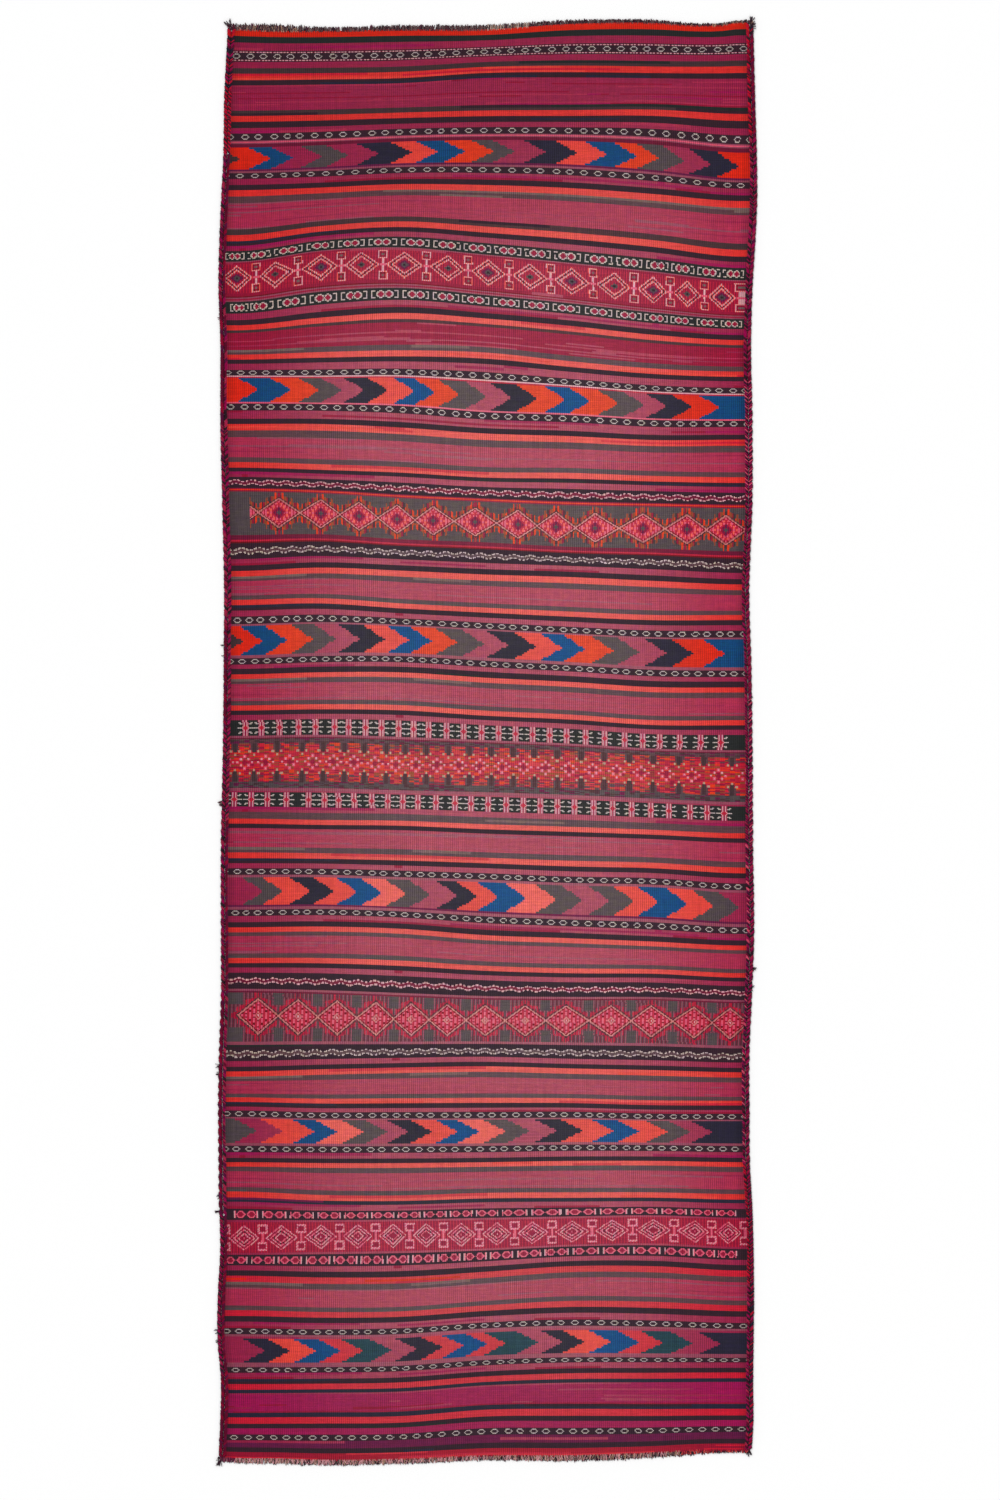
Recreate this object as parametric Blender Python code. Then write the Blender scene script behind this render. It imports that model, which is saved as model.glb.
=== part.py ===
"""Kilim runner: a long flat tapestry-woven wool runner with overcast side edges and cut warp ends.

The runner lies flat. X runs across it, Y along it with its head end at +Y, and Z is up. The origin is on
the surface that it lies on, under the middle of its outline. Sizes are in metres.
"""

import random
from typing import NamedTuple

import bpy
import numpy as np

# Driving dimensions
RUNNER_LENGTH = 3.342
CLOTH_THICKNESS = 0.003
SELVEDGE_WIDTH = 0.016
SELVEDGE_THICKNESS = 0.0045
SELVEDGE_ROUNDING = 0.0018
FRINGE_THICKNESS = 0.0024
FRINGE_STRIP_WIDTH = 0.003
FRINGE_STRAND_WIDTH = 0.0042
FRINGE_STRAND_TIP = 0.6
FRINGE_STRAND_LEAN = 0.0024
FRINGE_SHORTEST = 0.7
FRINGE_STRANDS = 130
FRINGE_SEED = 17
PIECE_GAP = 0.0003
EDGE_STEPS = 84
END_STEPS = 96
ROUNDING_RESOLUTION = 1


class Section(NamedTuple):
    """Outer edges of the runner at one distance down from its head, measured from the centre line."""

    down: float
    left: float
    right: float


class End(NamedTuple):
    """Last weft and longest warp ends at one place across the runner."""

    across: float
    head_down: float
    head_fringe: float
    foot_down: float
    foot_fringe: float


SECTIONS = (
    Section(down=0.000, left=0.5985, right=0.6140),
    Section(down=0.187, left=0.6080, right=0.6185),
    Section(down=0.303, left=0.6095, right=0.6220),
    Section(down=0.418, left=0.6150, right=0.6230),
    Section(down=0.511, left=0.6190, right=0.6190),
    Section(down=0.626, left=0.6210, right=0.6120),
    Section(down=0.753, left=0.6170, right=0.6090),
    Section(down=0.926, left=0.6170, right=0.6115),
    Section(down=1.111, left=0.6125, right=0.6115),
    Section(down=1.342, left=0.6080, right=0.6045),
    Section(down=1.481, left=0.6090, right=0.6090),
    Section(down=1.666, left=0.6105, right=0.6115),
    Section(down=1.897, left=0.6150, right=0.6130),
    Section(down=2.151, left=0.6150, right=0.6150),
    Section(down=2.266, left=0.6150, right=0.6100),
    Section(down=2.405, left=0.6195, right=0.6045),
    Section(down=2.520, left=0.6210, right=0.6050),
    Section(down=2.636, left=0.6200, right=0.6060),
    Section(down=2.728, left=0.6195, right=0.6115),
    Section(down=2.844, left=0.6170, right=0.6150),
    Section(down=2.936, left=0.6220, right=0.6160),
    Section(down=3.052, left=0.6230, right=0.6150),
    Section(down=3.144, left=0.6155, right=0.6140),
    Section(down=3.236, left=0.6170, right=0.6145),
    Section(down=RUNNER_LENGTH, left=0.6220, right=0.6080),
)

ENDS = (
    End(across=-0.626, head_down=0.0210, head_fringe=0.013, foot_down=3.3230, foot_fringe=0.010),
    End(across=-0.571, head_down=0.0240, head_fringe=0.014, foot_down=3.3260, foot_fringe=0.011),
    End(across=-0.500, head_down=0.0270, head_fringe=0.017, foot_down=3.3265, foot_fringe=0.012),
    End(across=-0.386, head_down=0.0277, head_fringe=0.011, foot_down=3.3300, foot_fringe=0.012),
    End(across=-0.202, head_down=0.0243, head_fringe=0.012, foot_down=3.3277, foot_fringe=0.012),
    End(across=-0.005, head_down=0.0243, head_fringe=0.013, foot_down=3.3195, foot_fringe=0.011),
    End(across=0.191, head_down=0.0116, head_fringe=0.011, foot_down=3.3195, foot_fringe=0.013),
    End(across=0.387, head_down=0.0095, head_fringe=0.009, foot_down=3.3125, foot_fringe=0.012),
    End(across=0.491, head_down=0.0157, head_fringe=0.007, foot_down=3.3063, foot_fringe=0.010),
    End(across=0.538, head_down=0.0150, head_fringe=0.007, foot_down=3.3058, foot_fringe=0.007),
    End(across=0.579, head_down=0.0085, head_fringe=0.007, foot_down=3.3060, foot_fringe=0.007),
    End(across=0.626, head_down=0.0100, head_fringe=0.010, foot_down=3.3060, foot_fringe=0.007),
)

# Colour, roughness and metallic value of each piece
FINISHES = {
    "kilim_cloth": ((0.30, 0.06, 0.08), 0.92, 0.0),
    "selvedge_left": ((0.16, 0.02, 0.06), 0.88, 0.0),
    "selvedge_right": ((0.14, 0.02, 0.06), 0.88, 0.0),
    "fringe_top": ((0.20, 0.15, 0.12), 0.95, 0.0),
    "fringe_bottom": ((0.32, 0.20, 0.18), 0.95, 0.0),
}


def flowing(rows, key, column, at):
    """Smooth curve through one column of a table, read at the given places along its key column."""
    keys = np.array([getattr(row, key) for row in rows])
    values = np.array([getattr(row, column) for row in rows])
    slopes = np.gradient(values, keys)
    step = np.clip(np.searchsorted(keys, at) - 1, 0, len(keys) - 2)
    span = keys[step + 1] - keys[step]
    t = (at - keys[step]) / span
    from_value = (1 + 2 * t) * (1 - t) ** 2 * values[step]
    from_slope = t * (1 - t) ** 2 * slopes[step] * span
    to_value = t**2 * (3 - 2 * t) * values[step + 1]
    to_slope = t**2 * (t - 1) * slopes[step + 1] * span
    return from_value + from_slope + to_value + to_slope


def side_edge(side, y):
    """X of the runner's outer edge at heights y up its length; side is -1 on the left and 1 on the right."""
    down = RUNNER_LENGTH / 2 - y
    return side * flowing(SECTIONS, "down", "left" if side < 0 else "right", down)


def end_edge(end, x):
    """Y of the cloth's last weft at places x across it; end is 1 at the head and -1 at the foot."""
    down = flowing(ENDS, "across", "head_down" if end > 0 else "foot_down", x)
    return RUNNER_LENGTH / 2 - down


def side_line(side, inset):
    """Points down one side of the cloth, from the head's last weft to the foot's, inset from the edge."""
    top, bottom = (
        end_edge(end, side_edge(side, end * RUNNER_LENGTH / 2) - side * inset) for end in (1, -1)
    )
    y = np.linspace(top, bottom, EDGE_STEPS)
    return np.column_stack([side_edge(side, y) - side * inset, y])


def cloth_outline():
    """The woven cloth between its two overcast edges."""
    inset = SELVEDGE_WIDTH + PIECE_GAP
    left = side_line(-1, inset)
    right = side_line(1, inset)
    head_x = np.linspace(left[0, 0], right[0, 0], END_STEPS)
    foot_x = np.linspace(left[-1, 0], right[-1, 0], END_STEPS)
    head = np.column_stack([head_x, end_edge(1, head_x)])
    foot = np.column_stack([foot_x, end_edge(-1, foot_x)])
    return np.concatenate([head[1:-1], right, foot[-2:0:-1], left[::-1]])


def selvedge_outline(side):
    """The overcast edge: the strip between the outer edge and the cloth."""
    return np.concatenate([side_line(side, 0.0), side_line(side, SELVEDGE_WIDTH)[::-1]])


def fringe_outline(end):
    """A comb: a strip along the last weft with short separate warp ends standing out from it."""
    rng = random.Random(FRINGE_SEED + end)
    y_end = end * RUNNER_LENGTH / 2
    left, right = (float(side_edge(side, y_end)) for side in (-1, 1))
    root_x = np.linspace(left, right, END_STEPS)
    root = np.column_stack([root_x, end_edge(end, root_x) + end * PIECE_GAP])
    pitch = (right - left) / FRINGE_STRANDS
    longest = "head_fringe" if end > 0 else "foot_fringe"
    comb = []
    for strand in range(FRINGE_STRANDS):
        x = right - (strand + 0.5) * pitch + rng.uniform(-0.1, 0.1) * pitch
        lean = rng.uniform(-1, 1) * FRINGE_STRAND_LEAN
        half = FRINGE_STRAND_WIDTH / 2 * rng.uniform(0.75, 1.15)
        reach = float(flowing(ENDS, "across", longest, x)) * rng.uniform(FRINGE_SHORTEST, 1)
        foot = float(end_edge(end, x)) + end * (PIECE_GAP + FRINGE_STRIP_WIDTH)
        tip = float(end_edge(end, x)) + end * reach
        tip_half = half * FRINGE_STRAND_TIP
        comb += [(x + half, foot), (x + lean + tip_half, tip), (x + lean - tip_half, tip), (x - half, foot)]
    strip_top = FRINGE_STRIP_WIDTH * end
    return np.concatenate([root, [root[-1] + (0, strip_top)], comb, [root[0] + (0, strip_top)]])


def laid_piece(name, outline, thickness, rounding, collection):
    """A filled outline of the given thickness, lying with its underside on the surface."""
    curve = bpy.data.curves.new(name, "CURVE")
    curve.dimensions = "2D"
    curve.fill_mode = "BOTH"
    curve.extrude = thickness / 2 - rounding
    curve.bevel_depth = rounding
    curve.bevel_resolution = ROUNDING_RESOLUTION
    curve.offset = -rounding
    spline = curve.splines.new("POLY")
    spline.points.add(len(outline) - 1)
    spline.use_cyclic_u = True
    for point, (x, y) in zip(spline.points, outline):
        point.co = (x, y, 0, 1)
    piece = bpy.data.objects.new(name, curve)
    piece.location.z = thickness / 2
    piece.data.materials.append(yarn_material(name))
    collection.objects.link(piece)
    return piece


def yarn_material(name):
    """The plain colour of one piece's yarn."""
    colour, roughness, metallic = FINISHES[name]
    material = bpy.data.materials.new(name)
    material.use_nodes = True
    shader = material.node_tree.nodes["Principled BSDF"]
    shader.inputs["Base Color"].default_value = (*colour, 1)
    shader.inputs["Roughness"].default_value = roughness
    shader.inputs["Metallic"].default_value = metallic
    material.diffuse_color = (*colour, 1)
    return material


def centred(outlines):
    """The outlines moved together so that the box around them has its middle at the origin."""
    points = np.concatenate(list(outlines.values()))
    middle = (points.min(axis=0) + points.max(axis=0)) / 2
    return {name: outline - middle for name, outline in outlines.items()}


def main():
    """Clears the scene and lays out the runner."""
    for old in list(bpy.data.objects):
        bpy.data.objects.remove(old)
    runner = bpy.data.collections.new("kilim_runner")
    bpy.context.scene.collection.children.link(runner)
    outlines = centred(
        {
            "kilim_cloth": cloth_outline(),
            "selvedge_left": selvedge_outline(-1),
            "selvedge_right": selvedge_outline(1),
            "fringe_top": fringe_outline(1),
            "fringe_bottom": fringe_outline(-1),
        }
    )
    thicknesses = {"kilim": CLOTH_THICKNESS, "selvedge": SELVEDGE_THICKNESS, "fringe": FRINGE_THICKNESS}
    for name, outline in outlines.items():
        family = name.split("_")[0]
        rounding = SELVEDGE_ROUNDING if family == "selvedge" else 0.0
        laid_piece(name, outline, thicknesses[family], rounding, runner)


main()
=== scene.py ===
"""Kilim runner laid flat: a tapestry-woven wool cloth with overcast side edges and cut warp ends.

X runs across the runner, Y along it with its head end at +Y, and Z is up. Sizes are in metres unless a
name says millimetres. Places on the cloth are also counted in steps of 2.31 mm, about one warp: across
from a datum line left of the cloth, and down from a band's first pick.
"""

import logging
import math
from dataclasses import dataclass, field
from enum import Enum, IntEnum

import bpy
import numpy as np
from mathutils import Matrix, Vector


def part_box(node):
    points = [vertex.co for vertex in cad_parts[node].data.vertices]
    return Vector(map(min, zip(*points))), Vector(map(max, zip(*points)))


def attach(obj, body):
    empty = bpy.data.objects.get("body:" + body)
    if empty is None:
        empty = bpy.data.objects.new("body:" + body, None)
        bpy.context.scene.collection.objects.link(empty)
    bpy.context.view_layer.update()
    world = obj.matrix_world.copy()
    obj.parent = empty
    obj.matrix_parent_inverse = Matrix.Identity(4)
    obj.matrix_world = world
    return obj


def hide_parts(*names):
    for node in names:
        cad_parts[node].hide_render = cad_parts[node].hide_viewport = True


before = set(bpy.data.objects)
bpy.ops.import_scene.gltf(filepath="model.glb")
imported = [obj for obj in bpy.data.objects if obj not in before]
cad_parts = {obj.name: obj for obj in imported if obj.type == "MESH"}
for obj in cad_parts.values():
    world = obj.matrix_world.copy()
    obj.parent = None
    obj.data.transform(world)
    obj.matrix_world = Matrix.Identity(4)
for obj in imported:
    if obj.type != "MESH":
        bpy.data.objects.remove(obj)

LOG = logging.getLogger("kilim_runner")

# Sizes that the whole runner shares
RUNNER_LENGTH = 3.342
HEAD_DOWN = 0.0243
CLOTH_LENGTH_MM = 3295.2
STEP = 0.00231
STEP_MM = 2.31
DATUM = -0.6173
WARPS = 516
WARPS_A_FACE = 12
YARN_BASE = 32
SELVEDGE_WIDTH = 0.016

Array = np.ndarray
Value = float | bpy.types.NodeSocket


class Yarn(IntEnum):
    """The dyed yarns, in the order in which they lie on the yarn card."""

    BLACK = 0
    OLIVE_DARK = 1
    GREY = 2
    PLUM = 3
    WINE = 4
    PURPLE = 5
    ROSE = 6
    MAUVE = 7
    MAGENTA = 8
    ORANGE_RED = 9
    ORANGE = 10
    RED = 11
    CORAL = 12
    SALMON = 13
    BLUE = 14
    TEAL = 15
    OLIVE = 16
    CREAM = 17
    PINK = 18
    CRIMSON = 19
    OXBLOOD = 20
    BEIGE = 21
    NAVY = 22
    TERRACOTTA = 23
    RUST = 24
    PALE_PINK = 25
    BOTTLE = 26
    DUSTY = 27
    GARNET = 28
    CLARET = 29
    BONE = 30
    SAND = 31


@dataclass(frozen=True)
class Dye:
    """One yarn's colour where it is fresh and where it is worn, as 8-bit sRGB values."""

    fresh: tuple[int, int, int]
    worn: tuple[int, int, int]


YARN_CARD = {
    Yarn.BLACK: Dye(fresh=(48, 24, 36), worn=(57, 42, 51)),
    Yarn.OLIVE_DARK: Dye(fresh=(62, 42, 46), worn=(88, 59, 63)),
    Yarn.GREY: Dye(fresh=(86, 52, 59), worn=(99, 78, 83)),
    Yarn.PLUM: Dye(fresh=(145, 20, 64), worn=(174, 84, 102)),
    Yarn.WINE: Dye(fresh=(100, 8, 44), worn=(128, 44, 66)),
    Yarn.PURPLE: Dye(fresh=(92, 14, 60), worn=(116, 40, 75)),
    Yarn.ROSE: Dye(fresh=(163, 34, 70), worn=(176, 79, 97)),
    Yarn.MAUVE: Dye(fresh=(138, 60, 82), worn=(164, 93, 108)),
    Yarn.MAGENTA: Dye(fresh=(150, 2, 74), worn=(158, 54, 86)),
    Yarn.ORANGE_RED: Dye(fresh=(213, 28, 4), worn=(200, 62, 46)),
    Yarn.ORANGE: Dye(fresh=(212, 36, 34), worn=(228, 98, 92)),
    Yarn.RED: Dye(fresh=(196, 12, 44), worn=(206, 72, 78)),
    Yarn.CORAL: Dye(fresh=(222, 58, 48), worn=(226, 86, 78)),
    Yarn.SALMON: Dye(fresh=(226, 84, 72), worn=(236, 106, 98)),
    Yarn.BLUE: Dye(fresh=(4, 62, 108), worn=(32, 82, 134)),
    Yarn.TEAL: Dye(fresh=(30, 60, 70), worn=(48, 74, 84)),
    Yarn.OLIVE: Dye(fresh=(74, 62, 66), worn=(94, 82, 84)),
    Yarn.CREAM: Dye(fresh=(190, 170, 160), worn=(206, 184, 184)),
    Yarn.PINK: Dye(fresh=(214, 76, 104), worn=(226, 112, 132)),
    Yarn.CRIMSON: Dye(fresh=(176, 16, 48), worn=(190, 56, 76)),
    Yarn.OXBLOOD: Dye(fresh=(104, 4, 18), worn=(130, 34, 44)),
    Yarn.BEIGE: Dye(fresh=(176, 138, 116), worn=(190, 156, 138)),
    Yarn.NAVY: Dye(fresh=(34, 30, 50), worn=(54, 50, 61)),
    Yarn.TERRACOTTA: Dye(fresh=(216, 46, 12), worn=(222, 76, 52)),
    Yarn.RUST: Dye(fresh=(140, 62, 36), worn=(160, 84, 62)),
    Yarn.PALE_PINK: Dye(fresh=(210, 150, 156), worn=(222, 172, 178)),
    Yarn.BOTTLE: Dye(fresh=(32, 34, 34), worn=(50, 50, 50)),
    Yarn.DUSTY: Dye(fresh=(108, 84, 82), worn=(126, 100, 98)),
    Yarn.GARNET: Dye(fresh=(146, 2, 42), worn=(184, 46, 56)),
    Yarn.CLARET: Dye(fresh=(142, 2, 46), worn=(154, 46, 71)),
    Yarn.BONE: Dye(fresh=(180, 164, 160), worn=(196, 182, 178)),
    Yarn.SAND: Dye(fresh=(194, 106, 106), worn=(210, 138, 136)),
}

# Yarns that a weaver mixed into a stripe when a skein ran out
ODD_SKEINS = {
    Yarn.PLUM: (Yarn.CLARET, Yarn.MAGENTA, Yarn.ROSE),
    Yarn.ROSE: (Yarn.PLUM, Yarn.ROSE, Yarn.MAUVE),
    Yarn.CLARET: (Yarn.PLUM, Yarn.CLARET, Yarn.ROSE),
    Yarn.GARNET: (Yarn.CRIMSON, Yarn.GARNET, Yarn.RED),
    Yarn.MAGENTA: (Yarn.PLUM, Yarn.CLARET, Yarn.MAGENTA),
    Yarn.ORANGE: (Yarn.ORANGE, Yarn.CORAL, Yarn.RED),
    Yarn.ORANGE_RED: (Yarn.ORANGE_RED, Yarn.ORANGE, Yarn.RED),
    Yarn.RED: (Yarn.RED, Yarn.CRIMSON, Yarn.ORANGE_RED),
    Yarn.BLACK: (Yarn.BLACK, Yarn.NAVY, Yarn.BOTTLE),
    Yarn.GREY: (Yarn.GREY, Yarn.DUSTY, Yarn.OLIVE),
    Yarn.OLIVE_DARK: (Yarn.OLIVE_DARK, Yarn.BOTTLE, Yarn.BLACK),
    Yarn.NAVY: (Yarn.NAVY, Yarn.BLACK, Yarn.PURPLE),
    Yarn.PURPLE: (Yarn.PURPLE, Yarn.WINE, Yarn.PLUM),
}


@dataclass(frozen=True)
class Section:
    """Outer edges of the runner at one distance down from its head, measured from the centre line."""

    down: float
    left: float
    right: float


@dataclass(frozen=True)
class End:
    """Last weft and longest warp ends at one place across the runner."""

    across: float
    head_down: float
    head_fringe: float
    foot_down: float
    foot_fringe: float


@dataclass(frozen=True)
class WeftLine:
    """How far one weft strays towards the foot at the seven places across, in millimetres."""

    down: float
    strays: tuple[float, ...]


SECTIONS = (
    Section(down=0.000, left=0.5985, right=0.6140),
    Section(down=0.187, left=0.6080, right=0.6185),
    Section(down=0.303, left=0.6095, right=0.6220),
    Section(down=0.418, left=0.6150, right=0.6230),
    Section(down=0.511, left=0.6190, right=0.6190),
    Section(down=0.626, left=0.6210, right=0.6120),
    Section(down=0.753, left=0.6170, right=0.6090),
    Section(down=0.926, left=0.6170, right=0.6115),
    Section(down=1.111, left=0.6125, right=0.6115),
    Section(down=1.342, left=0.6080, right=0.6045),
    Section(down=1.481, left=0.6090, right=0.6090),
    Section(down=1.666, left=0.6105, right=0.6115),
    Section(down=1.897, left=0.6150, right=0.6130),
    Section(down=2.151, left=0.6150, right=0.6150),
    Section(down=2.266, left=0.6150, right=0.6100),
    Section(down=2.405, left=0.6195, right=0.6045),
    Section(down=2.520, left=0.6210, right=0.6050),
    Section(down=2.636, left=0.6200, right=0.6060),
    Section(down=2.728, left=0.6195, right=0.6115),
    Section(down=2.844, left=0.6170, right=0.6150),
    Section(down=2.936, left=0.6220, right=0.6160),
    Section(down=3.052, left=0.6230, right=0.6150),
    Section(down=3.144, left=0.6155, right=0.6140),
    Section(down=3.236, left=0.6170, right=0.6145),
    Section(down=RUNNER_LENGTH, left=0.6220, right=0.6080),
)

ENDS = (
    End(across=-0.626, head_down=0.0210, head_fringe=0.013, foot_down=3.3230, foot_fringe=0.010),
    End(across=-0.571, head_down=0.0240, head_fringe=0.014, foot_down=3.3260, foot_fringe=0.011),
    End(across=-0.500, head_down=0.0270, head_fringe=0.017, foot_down=3.3265, foot_fringe=0.012),
    End(across=-0.386, head_down=0.0277, head_fringe=0.011, foot_down=3.3300, foot_fringe=0.012),
    End(across=-0.202, head_down=0.0243, head_fringe=0.012, foot_down=3.3277, foot_fringe=0.012),
    End(across=-0.005, head_down=0.0243, head_fringe=0.013, foot_down=3.3195, foot_fringe=0.011),
    End(across=0.191, head_down=0.0116, head_fringe=0.011, foot_down=3.3195, foot_fringe=0.013),
    End(across=0.387, head_down=0.0095, head_fringe=0.009, foot_down=3.3125, foot_fringe=0.012),
    End(across=0.491, head_down=0.0157, head_fringe=0.007, foot_down=3.3063, foot_fringe=0.010),
    End(across=0.538, head_down=0.0150, head_fringe=0.007, foot_down=3.3058, foot_fringe=0.007),
    End(across=0.579, head_down=0.0085, head_fringe=0.007, foot_down=3.3060, foot_fringe=0.007),
    End(across=0.626, head_down=0.0100, head_fringe=0.010, foot_down=3.3060, foot_fringe=0.007),
)

# The seven places across where the wefts were measured, and how each line strays there
PLACES = (-0.571, -0.386, -0.202, -0.005, 0.191, 0.387, 0.579)
WEFT_LINES = (
    WeftLine(0, (2, 3, 0, 0, -13, -16, -15)),
    WeftLine(100, (17, 15, 12, 0, -2, 0, 0)),
    WeftLine(187, (13, 10, 5, 0, -1, -2, 8)),
    WeftLine(281, (18, 12, 3, 0, 3, 15, 35)),
    WeftLine(359, (12, 6, -2, 0, 7, 21, 37)),
    WeftLine(456, (20, -1, -12, 0, 14, 32, 54)),
    WeftLine(558, (14, -12, -18, 0, 21, 42, 60)),
    WeftLine(666, (16, -2, -13, 0, 17, 38, 50)),
    WeftLine(746, (5, -1, -5, 0, 20, 37, 44)),
    WeftLine(849, (-17, -15, -14, 0, 8, 21, 25)),
    WeftLine(934, (-22, -22, -14, 0, 6, 15, 14)),
    WeftLine(1022, (-23, -18, -12, 0, 2, 9, 12)),
    WeftLine(1138, (-23, -21, -7, 0, 12, 14, 18)),
    WeftLine(1259, (-8, -16, -9, 0, 6, 15, 23)),
    WeftLine(1335, (-18, -22, -10, 0, 9, 17, 17)),
    WeftLine(1418, (-6, -12, -10, 0, 10, 20, 22)),
    WeftLine(1573, (-12, -15, -13, 0, 9, 22, 22)),
    WeftLine(1705, (-8, -10, -3, 0, 7, 17, 24)),
    WeftLine(1836, (-13, -10, -8, 0, 6, 13, 21)),
    WeftLine(2004, (-12, -13, -7, 0, 8, 12, 25)),
    WeftLine(2092, (-18, -20, -15, 0, 7, 15, 24)),
    WeftLine(2162, (-18, -18, -12, 0, 6, 8, 17)),
    WeftLine(2289, (-12, -8, -3, 0, 0, 1, 6)),
    WeftLine(2394, (12, 7, 3, 0, 5, 9, 14)),
    WeftLine(2467, (-1, 2, 1, 0, 1, 6, 7)),
    WeftLine(2616, (0, 2, 2, 0, -3, -3, 0)),
    WeftLine(2687, (-3, 5, 6, 0, -1, -1, 3)),
    WeftLine(2784, (10, 6, 3, 0, -6, -10, -3)),
    WeftLine(2869, (9, 13, 12, 0, -13, -13, -3)),
    WeftLine(3035, (15, 16, 13, 0, -5, -3, 0)),
    WeftLine(3112, (18, 17, 14, 0, -7, -8, -9)),
    WeftLine(3188, (18, 17, 15, 0, -2, -1, -2)),
    WeftLine(CLOTH_LENGTH_MM, (8, 12, 8, 0, 0, -3, -13)),
)


def flowing(keys: Array, values: Array, at: Array) -> Array:
    """Smooth curve through measured values.

    Args:
        keys: Places where the values were measured, rising.
        values: The values, or one row of them for each row of at.
        at: Places where the curve is wanted.

    Returns:
        The curve's values, in the shape of at.
    """
    slopes = np.gradient(values, keys, axis=-1)
    step = np.clip(np.searchsorted(keys, at) - 1, 0, len(keys) - 2)
    span = keys[step + 1] - keys[step]
    t = (at - keys[step]) / span

    def pick(table: Array, index: Array) -> Array:
        return table[index] if table.ndim == 1 else np.take_along_axis(table, index, axis=-1)

    start = (1 + 2 * t) * (1 - t) ** 2 * pick(values, step) + t * (1 - t) ** 2 * pick(slopes, step) * span
    end = t**2 * (3 - 2 * t) * pick(values, step + 1) + t**2 * (t - 1) * pick(slopes, step + 1) * span
    return start + end


def column(rows: tuple, name: str) -> Array:
    """One named column of a table of measured rows."""
    return np.array([getattr(row, name) for row in rows], dtype=float)


@dataclass(frozen=True)
class Outline:
    """The runner's outline and the paths of its wefts, before the move that centres it on the origin."""

    inset: float = 0.0148
    end_reach: float = 0.045

    def side_x(self, side: int, y: Array) -> Array:
        """X of the outer edge; side is -1 on the left and 1 on the right."""
        down = np.clip(RUNNER_LENGTH / 2 - y, 0, RUNNER_LENGTH)
        return side * flowing(column(SECTIONS, "down"), column(SECTIONS, "left" if side < 0 else "right"), down)

    def end_down(self, name: str, x: Array) -> Array:
        """One column of the end table at places across; name is the column's name."""
        return flowing(column(ENDS, "across"), column(ENDS, name), x)

    def weft_down(self, along_mm: Array, x: Array) -> Array:
        """Distance down from the head of the box of wefts that lie along_mm down the cloth's middle.

        Args:
            along_mm: One distance for each weft, in millimetres from the first pick.
            x: Places across each weft, one row for each weft.

        Returns:
            Distances in metres, in the shape of x.
        """
        strays = np.array([line.strays for line in WEFT_LINES], dtype=float).T
        downs = np.array([line.down for line in WEFT_LINES], dtype=float)
        at_places = np.stack([flowing(downs, row, along_mm) for row in strays], axis=-1)
        places = np.array((-0.626, *PLACES, 0.626))
        at_places = np.concatenate([at_places[:, :1], at_places, at_places[:, -1:]], axis=-1)
        stray = flowing(places, at_places, x) / 1000
        along = along_mm[:, None] / 1000
        down = HEAD_DOWN + along + stray
        for name, row, distance in (
            ("head_down", 0, along),
            ("foot_down", -1, CLOTH_LENGTH_MM / 1000 - along),
        ):
            edge = np.array((strays[0, row], *strays[:, row], strays[-1, row])) / 1000
            line = HEAD_DOWN - row * CLOTH_LENGTH_MM / 1000 + flowing(places, edge, x)
            down = down + (self.end_down(name, x) - line) * np.exp(-distance / self.end_reach)
        return down

    def shift(self) -> Array:
        """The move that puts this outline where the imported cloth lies."""
        y = np.linspace(-RUNNER_LENGTH / 2, RUNNER_LENGTH / 2, 400)
        left = self.side_x(-1, y).min()
        right = self.side_x(1, y).max()
        boxes = [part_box("selvedge_left"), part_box("selvedge_right")]
        move_x = ((boxes[0][0][0] - left) + (boxes[1][1][0] - right)) / 2
        x = np.linspace(-0.6, 0.6, 400)
        head = RUNNER_LENGTH / 2 - self.end_down("head_down", x).min()
        foot = RUNNER_LENGTH / 2 - self.end_down("foot_down", x).max()
        low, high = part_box("kilim_cloth")
        return np.array((move_x, ((high[1] - head) + (low[1] - foot)) / 2))


# Motifs, each painted a pick at a time over all the warps


def nearest(centres: Array, x: Array) -> tuple[Array, Array, Array]:
    """The nearest motif to each warp.

    Args:
        centres: Middles of the motifs across, rising.
        x: Places of the warps.

    Returns:
        Distance from the nearest middle, how far that motif reaches on this side, and its number.
    """
    middles = (centres[1:] + centres[:-1]) / 2
    number = np.searchsorted(middles, x)
    dx = x - centres[number]
    ends = np.concatenate([2 * centres[:1] - middles[:1], middles, 2 * centres[-1:] - middles[-1:]])
    return dx, np.where(dx < 0, centres[number] - ends[number], ends[number + 1] - centres[number]), number


def chart_yarns(chart: tuple[str, ...], row: int, cell: Array, card: dict[str, Yarn], ground: Yarn) -> Array:
    """Reads one row of a weaver's chart at the given cells; cells outside it hold the ground."""
    lookup = np.array([card.get(letter, ground) for letter in chart[row]])
    inside = (cell >= 0) & (cell < len(lookup))
    return np.where(inside, lookup[np.clip(cell, 0, len(lookup) - 1)], ground)


@dataclass(frozen=True)
class Motif:
    """A patterned band of the cloth."""

    pick: float = 1.0

    def rows(self, height: float) -> int:
        """Number of picks in a band of the given height, in steps."""
        return max(1, round(height / self.pick))

    def paint(self, y: float, x: Array, height: float) -> Array:
        """Yarn of every warp of one pick, y steps below the band's top."""
        raise NotImplementedError


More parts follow.
